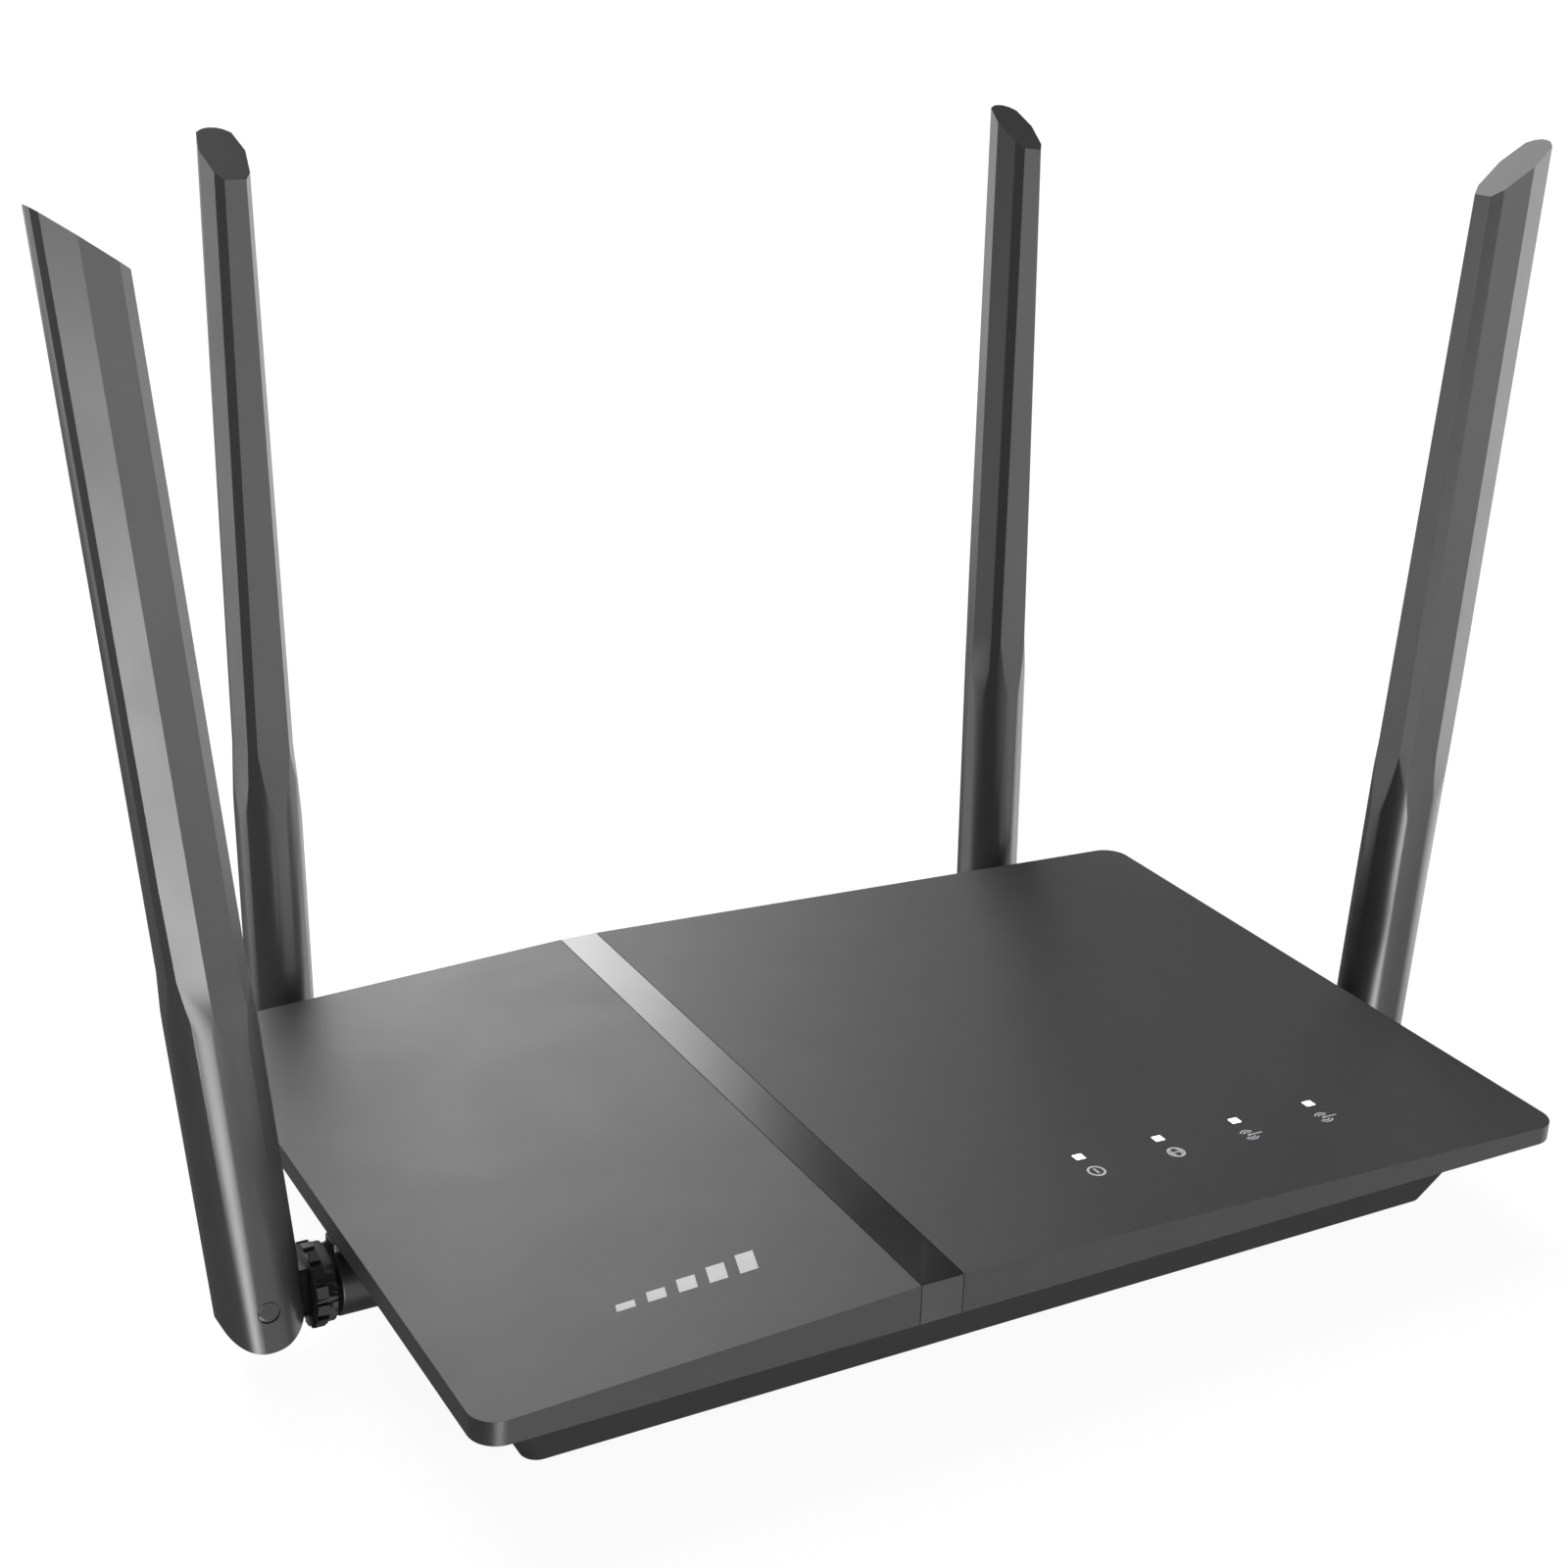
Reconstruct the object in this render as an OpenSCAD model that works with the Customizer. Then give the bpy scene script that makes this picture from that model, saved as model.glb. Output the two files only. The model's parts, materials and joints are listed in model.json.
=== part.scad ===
// Wireless router: a roof-shaped top plate over a tapering tub, with four folding blade antennas.
// The case is drawn round its own centre with z = 0 at the underside of the plate, and
// in_row_frame() stands it on its feet with the whole object's box centred on the origin.

/* [Case] */
// Width of the top plate, side to side
case_w = 220; // [214:1:226]
// Depth of the top plate, front to back
case_d = 145; // [143:1:150]
// Height of the plate's left edge
edge_left_h = 4.3; // [4:0.1:4.8]
// Height of the plate's right edge
edge_right_h = 3.3; // [3.2:0.1:3.8]
// Height of the plate at the accent strip, its highest line
ridge_h = 7.5; // [7.2:0.1:8.2]
// Radius of the plate's four upright corners
corner_r = 5; // [4:0.5:7]
// Left edge of the accent strip
strip_left = -32.3; // [-34:0.1:-31]
// Width of the accent strip
strip_w = 8.3; // [7.5:0.1:9]
// Depth of the tub below the plate
tub_h = 18.3; // [18.3:0.1:19]
// Height that the rubber feet lift the tub
foot_lift = 3; // [2.8:0.1:4]

/* [Antennas] */
// Length from the hinge pin to the highest tip
blade_len = 185; // [150:1:200]
// Width of the round lower section, across the hinge pin
blade_w = 15.4; // [15:0.1:16]
// Thickness of the round lower section, along the hinge pin
blade_t = 12.8; // [12.4:0.1:13.4]
// Distance of the side hinge pins beyond the plate's edge
side_reach = 12.9; // [12.5:0.1:14]
// Distance of the rear hinge pins behind the plate's edge
rear_reach = 18.5; // [18:0.1:20]
// Distance of the rear antennas from the middle line
rear_x = 87.15; // [86:0.05:88]
// Lean of the side antennas away from the case, in degrees
side_lean = 4.5; // [0:0.5:12]
// Lean of the rear antennas away from the case, in degrees
rear_lean = 12.3; // [0:0.1:20]

/* [Hidden] */
$fn = 48;

// Shell thicknesses
roof_t = 1.8;
rim_t = 1.6;
wall_t = 2;
flange_t = 1.3;
gap = 0.15;

// Tub: how far its outline stands in from the plate, at its top and at its floor
tub_side_top = 5.5;
tub_side_low = 15;
tub_front_top = 10.3;
tub_front_low = 17;
tub_back_y = 66;
tub_corner_r = 3;
floor_z = -tub_h + wall_t;

// Main board
board_t = 1.6;
board_z = floor_z + 2.6;
board_top = board_z + board_t;
board_w = 154;
board_front = -51;
board_back = 62;

// Rear sockets and buttons, by their middles
panel_t = 2;
jack_pitch = 14.4;
jack_h = 11.6;
jack_depth = 18;
jack_front = tub_back_y + 0.6;
lan_x = -14;
lan_ports = 4;
wan_x = 27;
dc_x = 60;
dc_z = board_top + 5.5;
power_x = 46;
power_z = board_top + 4;
reset_x = -51;
wps_x = -60;
tact_z = board_top + 3.5;

// Status lights along the front of the right-hand panel
light_count = 4;
light_first_x = 16.4;
light_pitch = 17.7;
light_y = -47.3;

// Screws, feet and wall-mounting keyholes
screw_places = [[-86, -46], [86, -46], [-86, 38], [86, 38]];
foot_places = [[-74, -44], [74, -44], [-74, 50], [74, 50]];
keyhole_x = 84;
keyhole_y = -20;
board_screw_places = [[-72, -38], [72, -38], [-72, 40], [72, 40]];

// Hinges
pin_r = 1.5;
running = 0.05;
tongue_t = 5.2;
tongue_r = 4.4;
slot_play = 0.3;
slot_reach = 5;
collar_near = 8.3;
collar_far = 12;
collar_r = 7;
collar_rib = 0.5;
lug_l = 3;
lug_w = 4.4;
lug_h = 1.6;
coax_r = 0.6;
coax_bore_r = 1;
facet_w = 13.9;
facet_half = [[6.95, 3.3], [0.9, 4.65], [-4.8, 3.5], [-6.7, 2.05]];
facet_spread = 1.25;
facet_start = 62;
round_end = 46;
tip_drop = 11.3;

// Each antenna: name, hinge pin position, heading of the hinge's axis away from the case,
// lean, swivel, neck radius, outer and sleeve radius of its socket, reach of the socket's
// mouth and of the neck's inner end from the pin
side_z = -9;
rear_z = -12;
side_pin_x = case_w / 2 + side_reach;
rear_pin_y = case_d / 2 + rear_reach;
ANTENNAS = [
    ["left", [-side_pin_x, -4.3, side_z], 180, side_lean, 5.3, 4, 6.6, 6.6, 13, 31],
    ["right", [side_pin_x, -4.3, side_z], 0, side_lean, -1.7, 4, 6.6, 6.6, 13, 31],
    ["rear_left", [-rear_x, rear_pin_y, rear_z], 90, rear_lean, 2.6, 3, 5.8, 4.2, 13, 32],
    ["rear_right", [rear_x, rear_pin_y, rear_z], 90, rear_lean, 6.7, 3, 5.8, 4.2, 13, 32],
];
LEAD_ROUTES = [
    [[-68, 14, -10.3], [-76, 9, -9], [-84, -1, side_z], [-90, -4.3, side_z]],
    [[68, 14, -10.3], [76, 9, -9], [84, -1, side_z], [90, -4.3, side_z]],
    [[-68, 30, -10.3], [-76, 36, -10.3], [-84, 46, rear_z], [-rear_x, 54, rear_z]],
    [[68, 30, -10.3], [76, 36, -10.3], [84, 46, rear_z], [rear_x, 54, rear_z]],
];

ANTENNA_PIECES = ["socket", "knuckle", "hinge_pins", "blade", "element", "lead"];

// The row frame: feet on z = 0, the object's box centred front to back
rear_tip_y = rear_pin_y + blade_len * sin(rear_lean) + facet_w / 2;
frame_y = (case_d / 2 - rear_tip_y) / 2;
frame_z = tub_h + foot_lift;

module in_row_frame() {
    translate([0, frame_y, frame_z]) children();
}

// ---------------------------------------------------------------- shared shapes

module rounded_rect(w, d, r) {
    square([w - 2 * r, d], center = true);
    square([w, d - 2 * r], center = true);
    for (x = [-1, 1], y = [-1, 1]) translate([x * (w / 2 - r), y * (d / 2 - r)]) circle(r);
}

module block(size, at) {
    translate([at[0] - size[0] / 2, at[1] - size[1] / 2, at[2]]) cube(size);
}

// Smooth curve through a list of points, with steps rings to a stretch
function curve_point(p, i, t) =
    let (n = len(p) - 1,
         a = p[max(i - 1, 0)], b = p[i], c = p[min(i + 1, n)], d = p[min(i + 2, n)])
    0.5 * (2 * b + (c - a) * t + (2 * a - 5 * b + 4 * c - d) * t * t
        + (3 * b - a - 3 * c + d) * t * t * t);
function curve(p, steps) = concat(
    [for (i = [0 : len(p) - 2], k = [0 : steps - 1]) curve_point(p, i, k / steps)],
    [p[len(p) - 1]]);
function unit(v) = v / norm(v);
function heading(p, i) = unit(p[min(i + 1, len(p) - 1)] - p[max(i - 1, 0)]);

// Round wire swept along points, closed at both ends; it never runs straight up
module wire(points, r) {
    sides = 8;
    last = len(points) - 1;
    rings = [for (i = [0 : last], k = [0 : sides - 1])
        let (along = heading(points, i),
             across = unit(cross([0, 0, 1], along)),
             up = cross(along, across),
             turn = 360 / sides * k)
        points[i] + r * (across * cos(turn) + up * sin(turn))];
    walls = [for (i = [0 : last - 1], k = [0 : sides - 1])
        let (next = (k + 1) % sides)
        [i * sides + k, (i + 1) * sides + k, (i + 1) * sides + next, i * sides + next]];
    ends = [[for (k = [0 : sides - 1]) k],
            [for (k = [0 : sides - 1]) last * sides + sides - 1 - k]];
    polyhedron(rings, concat(walls, ends));
}

// Height of the roof's outer surface above x
function roof_z(x) =
    x < strip_left
        ? edge_left_h + (ridge_h - edge_left_h) * (x + case_w / 2) / (strip_left + case_w / 2)
        : x <= strip_left + strip_w
            ? ridge_h
            : edge_right_h + (ridge_h - edge_right_h) * (case_w / 2 - x)
                / (case_w / 2 - strip_left - strip_w);

// Solid under the roof, lowered by drop, between two x limits
module under_roof(x_from, x_to, drop, bottom) {
    rotate([90, 0, 0])
        linear_extrude(case_d + 2, center = true)
            polygon([
                [x_from, bottom],
                [x_to, bottom],
                [x_to, roof_z(x_to) - drop],
                [strip_left + strip_w, ridge_h - drop],
                [strip_left, ridge_h - drop],
                [x_from, roof_z(x_from) - drop],
            ]);
}

// ---------------------------------------------------------------- case

module light_window(i, play) {
    block([2 + play, 1.8 + play, 20], [light_first_x + i * light_pitch, light_y, -3]);
}

// The strip's own solid: a bar along the top and a cap down each end
module strip_bar(play) {
    w = strip_w - 2 * gap + 2 * play;
    x = strip_left + strip_w / 2;
    block([w, case_d + 2 * play, 1 + play], [x, 0, ridge_h - 1 - play]);
    for (side = [-1, 1])
        block([w, 0.8 + play, ridge_h + 2 * play], [x, side * (case_d / 2 - 0.4 + play / 2), -play]);
    for (y = [-45, 0, 45]) translate([x, y, ridge_h - 3.2]) cylinder(h = 2.6, r = 1.2 + play / 2);
}

module top_cover() {
    color([0.27, 0.27, 0.28]) difference() {
        union() {
            difference() {
                intersection() {
                    linear_extrude(20) rounded_rect(case_w, case_d, corner_r);
                    under_roof(-case_w / 2, case_w / 2, 0, 0);
                }
                intersection() {
                    translate([0, 0, -1]) linear_extrude(20)
                        rounded_rect(case_w - 2 * rim_t, case_d - 2 * rim_t, corner_r - rim_t);
                    under_roof(-case_w / 2 + rim_t, case_w / 2 - rim_t, roof_t, -1);
                }
            }
            block([strip_w + 3, case_d - 2 * rim_t, 1.4], [strip_left + strip_w / 2, 0, ridge_h - 3]);
            for (p = screw_places) translate([p[0], p[1], -4])
                cylinder(h = roof_z(p[0]) + 3, r = 3.2);
        }
        strip_bar(gap);
        for (i = [0 : light_count - 1]) light_window(i, 0);
        for (p = screw_places) translate([p[0], p[1], -5]) cylinder(h = 6.6, r = 1.25);
    }
}

module accent_strip() {
    color([0.1, 0.1, 0.11]) strip_bar(0);
}

// Tapering block with the tub's outline, in by the wall where it is the inside
module tub_block(inset, low_z, back_y) {
    top_half = case_w / 2 - tub_side_top - inset;
    low_half = case_w / 2 - tub_side_low - inset;
    taper = (tub_side_low - tub_side_top) / tub_h;
    front_taper = (tub_front_low - tub_front_top) / tub_h;
    hull() {
        for (level = [[low_z, low_half - (-tub_h - low_z) * taper], [0, top_half]]) {
            front = -case_d / 2 + tub_front_top - level[0] * front_taper + inset;
            for (x = [-1, 1]) {
                translate([x * (level[1] - tub_corner_r), front + tub_corner_r, level[0]])
                    cylinder(h = 0.01, r = tub_corner_r, $fn = 32);
                block([1, 1, 0.01], [x * (level[1] - 0.5), back_y - 0.5, level[0]]);
            }
        }
    }
}

module keyhole() {
    cylinder(h = 6, r = 4, center = true);
    translate([0, -8, 0]) cylinder(h = 6, r = 2.1, center = true);
    translate([0, -4, 0]) cube([4.2, 8, 6], center = true);
}

module vents() {
    for (side = [-1, 1], i = [0 : 6])
        block([1.8, 26, 6], [side * (42 + 4 * i), 6, -tub_h - 2]);
    for (i = [0 : 16]) block([1.8, 16, 6], [-32 + 4 * i, -34, -tub_h - 2]);
    for (i = [0 : 4]) {
        block([case_w, 2, 7], [0, 12 + 7 * i, -13]);
        block([case_w, 2, 7], [0, -44 + 7 * i, -13]);
    }
}

module bottom_case() {
    color([0.16, 0.16, 0.17]) difference() {
        union() {
            difference() {
                union() {
                    tub_block(0, -tub_h, tub_back_y);
                    linear_extrude(flange_t)
                        rounded_rect(case_w - 2 * rim_t - 2 * gap, case_d - 2 * rim_t - 2 * gap,
                                     corner_r - rim_t - gap);
                }
                translate([0, 0, 0.001]) tub_block(wall_t, floor_z, tub_back_y + 1);
                block([2 * (case_w / 2 - tub_side_top - wall_t), tub_back_y + 57.5, 3],
                      [0, (tub_back_y - 2 - 55.5) / 2, -0.01]);
                vents();
            }
            for (p = screw_places) translate([p[0], p[1], -tub_h]) cylinder(h = tub_h - 4.1, r = 4);
            for (p = board_screw_places) translate([p[0], p[1], -tub_h])
                cylinder(h = board_z + tub_h, r = 3);
        }
        for (p = screw_places) translate([p[0], p[1], -tub_h - 1]) {
            cylinder(h = 9, r = 3.1);
            cylinder(h = 30, r = 1.6);
        }
        for (p = board_screw_places) translate([p[0], p[1], floor_z - 1]) cylinder(h = 9, r = 1.1);
        for (p = foot_places) translate([p[0], p[1], -tub_h - 1]) cylinder(h = 1.4, r = 5.1);
        for (x = [-1, 1]) translate([x * keyhole_x, keyhole_y, -tub_h + 1]) keyhole();
        for (a = ANTENNAS) at_hinge(a, 0)
            rotate([0, -90, 0]) cylinder(h = a[9], r = a[7] + gap);
    }
}

module rear_panel() {
    low = case_w / 2 - tub_side_low - wall_t - gap;
    high = case_w / 2 - tub_side_top - wall_t - gap;
    taper = (tub_side_low - tub_side_top) / tub_h;
    color([0.16, 0.16, 0.17]) difference() {
        translate([0, tub_back_y, 0]) rotate([90, 0, 0]) linear_extrude(panel_t)
            polygon([[-low - wall_t * taper, floor_z + 0.05], [low + wall_t * taper, floor_z + 0.05],
                     [high, -0.1], [-high, -0.1]]);
        block([lan_ports * jack_pitch + 2, 10, jack_h + 0.2], [lan_x, tub_back_y, board_top - 0.1]);
        block([16.4, 10, jack_h + 0.2], [wan_x, tub_back_y, board_top - 0.1]);
        block([8.2, 10, 6.2], [power_x, tub_back_y, power_z - 3.1]);
        translate([0, tub_back_y + 1, 0]) rotate([90, 0, 0]) {
            translate([dc_x, dc_z, 0]) cylinder(h = 6, r = 4.4);
            translate([wps_x, tact_z, 0]) cylinder(h = 6, r = 2.7);
            translate([reset_x, tact_z, 0]) cylinder(h = 6, r = 0.9);
        }
        for (a = ANTENNAS) at_hinge(a, 0)
            rotate([0, -90, 0]) cylinder(h = a[9], r = a[7] + gap);
    }
}

module rubber_feet() {
    color([0.08, 0.08, 0.08]) for (p = foot_places)
        translate([p[0], p[1], -tub_h - foot_lift]) cylinder(h = foot_lift + 0.4, r = 5);
}

module case_screws() {
    color([0.6, 0.6, 0.62]) for (p = screw_places) translate([p[0], p[1], -tub_h + 6]) difference() {
        union() {
            cylinder(h = 2, r = 2.8);
            cylinder(h = tub_h - 5, r = 1.25);
        }
        translate([-1.9, -0.4, -1]) cube([3.8, 0.8, 1.8]);
        translate([-0.4, -1.9, -1]) cube([0.8, 3.8, 1.8]);
    }
}

module rating_label() {
    color([0.85, 0.85, 0.85]) translate([0, 2, -tub_h - 0.15]) linear_extrude(0.15)
        rounded_rect(62, 34, 1.5);
}

// ---------------------------------------------------------------- board and its parts

module main_board() {
    color([0.05, 0.3, 0.15]) difference() {
        translate([-board_w / 2, board_front, board_z])
            cube([board_w, board_back - board_front, board_t]);
        for (p = board_screw_places) translate([p[0], p[1], board_z - 1])
            cylinder(h = board_t + 2, r = 1.6);
    }
}

module board_screws() {
    color([0.7, 0.7, 0.72]) for (p = board_screw_places) translate([p[0], p[1], board_top])
        difference() {
            union() {
                cylinder(h = 1.4, r = 2.6);
                translate([0, 0, -4]) cylinder(h = 4.5, r = 1.1);
            }
            block([3.4, 0.7, 2], [0, 0, 0.7]);
            block([0.7, 3.4, 2], [0, 0, 0.7]);
        }
}

// Room for one plug: the main cavity, the latch groove below it and the contacts' comb above
module jack_cavity(x) {
    block([11.8, 13.6, 6.9], [x, jack_front - 6.3, board_top + 3.4]);
    block([6.2, 13.6, 2.4], [x, jack_front - 6.3, board_top + 1.3]);
}

module jack_body(x, ports, w) {
    difference() {
        block([w, jack_depth, jack_h], [x, jack_front - jack_depth / 2, board_top]);
        for (i = [0 : ports - 1]) jack_cavity(x + (i - (ports - 1) / 2) * jack_pitch);
    }
}

module lan_jacks() {
    color([0.1, 0.1, 0.1]) jack_body(lan_x, lan_ports, lan_ports * jack_pitch + 1.6);
}

module wan_jack() {
    color([0.85, 0.65, 0.1]) jack_body(wan_x, 1, 16);
}

module jack_contacts() {
    centres = concat([for (i = [0 : lan_ports - 1]) lan_x + (i - (lan_ports - 1) / 2) * jack_pitch],
                     [wan_x]);
    color([0.9, 0.7, 0.3]) for (x = centres, i = [0 : 7])
        block([0.45, 10, 0.5], [x + (i - 3.5) * 1.27, jack_front - 7.5, board_top + 9.75]);
}

module dc_jack() {
    color([0.08, 0.08, 0.08]) difference() {
        union() {
            block([9, 13, 10.6], [dc_x, tub_back_y - 9, board_top]);
            translate([dc_x, tub_back_y + 0.4, dc_z]) rotate([90, 0, 0]) cylinder(h = 4, r = 4.2);
        }
        translate([dc_x, tub_back_y + 1, dc_z]) rotate([90, 0, 0]) cylinder(h = 11, r = 3.1);
    }
}

module dc_jack_pin() {
    color([0.8, 0.8, 0.82]) translate([dc_x, tub_back_y - 0.6, dc_z]) rotate([90, 0, 0])
        cylinder(h = 9.4, r = 1);
}

module power_switch() {
    color([0.12, 0.12, 0.12]) difference() {
        block([8.5, 10, 8], [power_x, 52, board_top]);
        block([3.4, 7, 3.4], [power_x, 54, power_z - 1.7]);
    }
}

module power_button() {
    color([0.2, 0.2, 0.2]) {
        block([7.6, 9.4, 5.6], [power_x, 64.7, power_z - 2.8]);
        block([9.4, 2, 7.4], [power_x, 61.5, power_z - 3.7]);
        block([2.8, 8, 2.8], [power_x, 57.5, power_z - 1.4]);
    }
}

// Small side-acting switch, with a socket for its plunger
module tact_switch(x) {
    color([0.12, 0.12, 0.12]) difference() {
        block([6, 4, 7], [x, 57, board_top]);
        translate([x, 60, tact_z]) rotate([90, 0, 0]) cylinder(h = 4, r = 1.3);
    }
}

module wps_switch() {
    tact_switch(wps_x);
}

module reset_switch() {
    tact_switch(reset_x);
}

module wps_button() {
    color([0.2, 0.2, 0.2]) translate([wps_x, 0, tact_z]) rotate([-90, 0, 0]) {
        translate([0, 0, 57]) cylinder(h = 5, r = 1);
        translate([0, 0, 61]) cylinder(h = 1.6, r = 3.4);
        translate([0, 0, 61]) cylinder(h = 6.4, r = 2.4);
    }
}

module reset_plunger() {
    color([0.75, 0.7, 0.6]) translate([reset_x, 57, tact_z]) rotate([-90, 0, 0])
        cylinder(h = 5.4, r = 1);
}

module status_leds() {
    color([0.95, 0.95, 0.85]) for (i = [0 : light_count - 1])
        block([1.8, 1.4, 0.8], [light_first_x + i * light_pitch, light_y, board_top]);
}

module light_guide() {
    color([0.9, 0.95, 1, 0.6]) intersection() {
        union() {
            for (i = [0 : light_count - 1])
                block([1.94, 1.74, 30], [light_first_x + i * light_pitch, light_y, board_top + 1]);
            block([(light_count - 1) * light_pitch + 4, 1.4, 1.8],
                  [light_first_x + (light_count - 1) * light_pitch / 2, light_y, -5]);
        }
        under_roof(0, 90, 0, -20);
    }
}

module chip(size, at) {
    color([0.08, 0.08, 0.09]) block(size, [at[0], at[1], board_top]);
}

module main_processor() {
    chip([15, 15, 1.4], [-30, 8]);
}

module thermal_pad() {
    color([0.6, 0.6, 0.7]) block([14, 14, 0.5], [-30, 8, board_top + 1.4]);
}

module heat_sink() {
    color([0.7, 0.7, 0.72]) {
        block([28, 28, 1.6], [-30, 8, board_top + 1.9]);
        for (i = [0 : 8]) block([1.2, 28, 5], [-42.8 + 3.2 * i, 8, board_top + 3.5]);
    }
}

module memory_chip() {
    chip([9, 13, 1.1], [-54, 8]);
}

module flash_chip() {
    chip([5.3, 5.3, 1.8], [-54, -10]);
}

module switch_chip() {
    chip([12, 12, 1.1], [-4, 14]);
}

module radio_chips() {
    for (x = [22, 52]) chip([9, 9, 1], [x, -6]);
}

module radio_shields() {
    color([0.75, 0.75, 0.76]) for (x = [22, 52]) difference() {
        block([26, 30, 3], [x, -4, board_top]);
        block([25.4, 29.4, 2.8], [x, -4, board_top - 0.1]);
        for (i = [-2 : 2], j = [-2 : 2]) translate([x + 4.5 * i, -4 + 5 * j, board_top + 2])
            cylinder(h = 2, r = 0.8);
    }
}

module line_transformers() {
    color([0.1, 0.1, 0.1]) for (x = [-36, -17, 2, 24])
        block([16, 8, 6], [x, 38, board_top]);
}

module capacitors() {
    color([0.2, 0.2, 0.25]) {
        for (p = [[61, 36], [52, 36]]) translate([p[0], p[1], board_top]) cylinder(h = 9, r = 4);
        for (p = [[44, 36], [44, 26]]) translate([p[0], p[1], board_top]) cylinder(h = 7, r = 2.5);
    }
}

module inductors() {
    color([0.25, 0.25, 0.27]) for (p = [[60, 22], [52, 22], [-64, -30]])
        block([6, 6, 3], [p[0], p[1], board_top]);
}

module crystals() {
    color([0.8, 0.8, 0.82]) for (p = [[-14, -8], [36, 14]])
        block([3.2, 2.5, 0.8], [p[0], p[1], board_top]);
}

module antenna_connectors() {
    color([0.85, 0.7, 0.35]) for (route = LEAD_ROUTES)
        translate([route[0][0], route[0][1], board_top]) difference() {
            cylinder(h = 2.6, r = 1.5);
            translate([0, 0, route[0][2] - board_top]) rotate([0, 0, route[0][0] < 0 ? 180 : 0])
                rotate([0, 90, 0]) cylinder(h = 4, r = coax_r + 0.1);
        }
}

// ---------------------------------------------------------------- antennas
// Hinge frame: x away from the case along the swivel axis, y along the hinge pin, z up

module at_hinge(a, swivel) {
    translate(a[1]) rotate([0, 0, a[2]]) rotate([swivel, 0, 0]) children();
}

module at_blade(a) {
    at_hinge(a, a[4]) rotate([0, a[3], 0]) children();
}

// Cylinder along the swivel axis, between two distances towards the case
module along_axis(near, far, r) {
    translate([-far, 0, 0]) rotate([0, 90, 0]) cylinder(h = far - near, r = r);
}

module socket(a) {
    is_side = a[6] == a[7];
    color([0.14, 0.14, 0.15]) at_hinge(a, 0) difference() {
        union() {
            along_axis(a[8], is_side ? 27 : 24.7, a[6]);
            along_axis(a[8], a[9] - 3, a[7]);
            translate([-a[8] - lug_l, -lug_w / 2, 0]) cube([lug_l, lug_w, a[6] + lug_h]);
        }
        along_axis(a[8] - 1, a[9], a[5] + running);
    }
}

module knuckle(a) {
    ribs = 14;
    color([0.13, 0.13, 0.14]) at_hinge(a, a[4]) difference() {
        union() {
            along_axis(collar_near, collar_far, collar_r);
            for (i = [0 : ribs - 1]) rotate([360 / ribs * i, 0, 0])
                translate([-collar_near - 2, -1, collar_r - 0.6]) cube([2, 2, 0.6 + collar_rib]);
            along_axis(collar_near, a[9], a[5]);
            along_axis(a[9] - 2, a[9] - 0.4, a[5] + 0.6);
            rotate([90, 0, 0]) cylinder(h = tongue_t, r = tongue_r, center = true);
            translate([-collar_near - 1, -tongue_t / 2, -tongue_r])
                cube([collar_near + 1, tongue_t, 2 * tongue_r]);
        }
        along_axis(0, a[9] + 1, coax_bore_r);
        rotate([90, 0, 0]) cylinder(h = tongue_t + 2, r = pin_r + running, center = true);
        translate([-coax_bore_r, -coax_bore_r, -coax_bore_r]) cube([8, 2 * coax_bore_r, 8]);
        translate([-a[9] - 1, -0.5, -6]) cube([5, 1, 12]);
    }
}

module oval(w, t) {
    for (x = [-1, 1]) translate([x * (w - t) / 2, 0]) circle(t / 2);
    square([w - t, t], center = true);
}

// The eight-sided section of the upper blade: blunt on the outer side and narrow on the inner
// one. inset moves every side inwards, and spread stands both halves that much further apart
module facets(inset, spread) {
    last = len(facet_half) - 1;
    offset(delta = -inset) polygon(concat(
        [for (p = facet_half) [p[0], p[1] + spread]],
        [for (i = [last:-1:0]) [facet_half[i][0], -facet_half[i][1] - spread]]));
}

// Everything above the oblique cut across the top
module above_tip() {
    slope = atan2(tip_drop, facet_w);
    translate([facet_w / 2, 0, blade_len]) rotate([0, -slope, 0])
        translate([-40, -20, 0]) cube([80, 40, 40]);
}

module blade(a) {
    skin = 1.5;
    color([0.3, 0.3, 0.31]) at_blade(a) difference() {
        union() {
            intersection() {
                translate([0, 0, -blade_w]) linear_extrude(blade_w + round_end) oval(blade_w, blade_t);
                union() {
                    rotate([90, 0, 0]) cylinder(h = 2 * blade_w, r = blade_w / 2, center = true);
                    translate([-blade_w, -blade_w, 0]) cube([2 * blade_w, 2 * blade_w, round_end]);
                }
            }
            hull() {
                translate([0, 0, round_end]) linear_extrude(0.01) oval(blade_w, blade_t);
                translate([0, 0, facet_start]) linear_extrude(0.01) facets(0, facet_spread);
            }
            hull() {
                translate([0, 0, facet_start]) linear_extrude(0.01) facets(0, facet_spread);
                translate([0, 0, blade_len + 2]) linear_extrude(0.01) facets(0, 0);
            }
        }
        above_tip();
        translate([-blade_w, -tongue_t / 2 - slot_play, -blade_w])
            cube([blade_w + slot_reach, tongue_t + 2 * slot_play, blade_w + slot_reach]);
        cylinder(h = 20, r = coax_bore_r);
        translate([0, 0, 12]) linear_extrude(round_end - 12)
            oval(blade_w - 2 * skin - 1, blade_t - 2 * skin - 1);
        translate([0, 0, round_end - 1]) linear_extrude(blade_len - tip_drop - round_end - 4)
            facets(skin, 0);
        rotate([90, 0, 0]) cylinder(h = 2 * blade_w, r = pin_r, center = true);
        for (side = [-1, 1]) translate([0, side * (blade_t / 2 - 0.5), 0]) rotate([side * -90, 0, 0])
            cylinder(h = 5, r = 2);
    }
}

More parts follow.
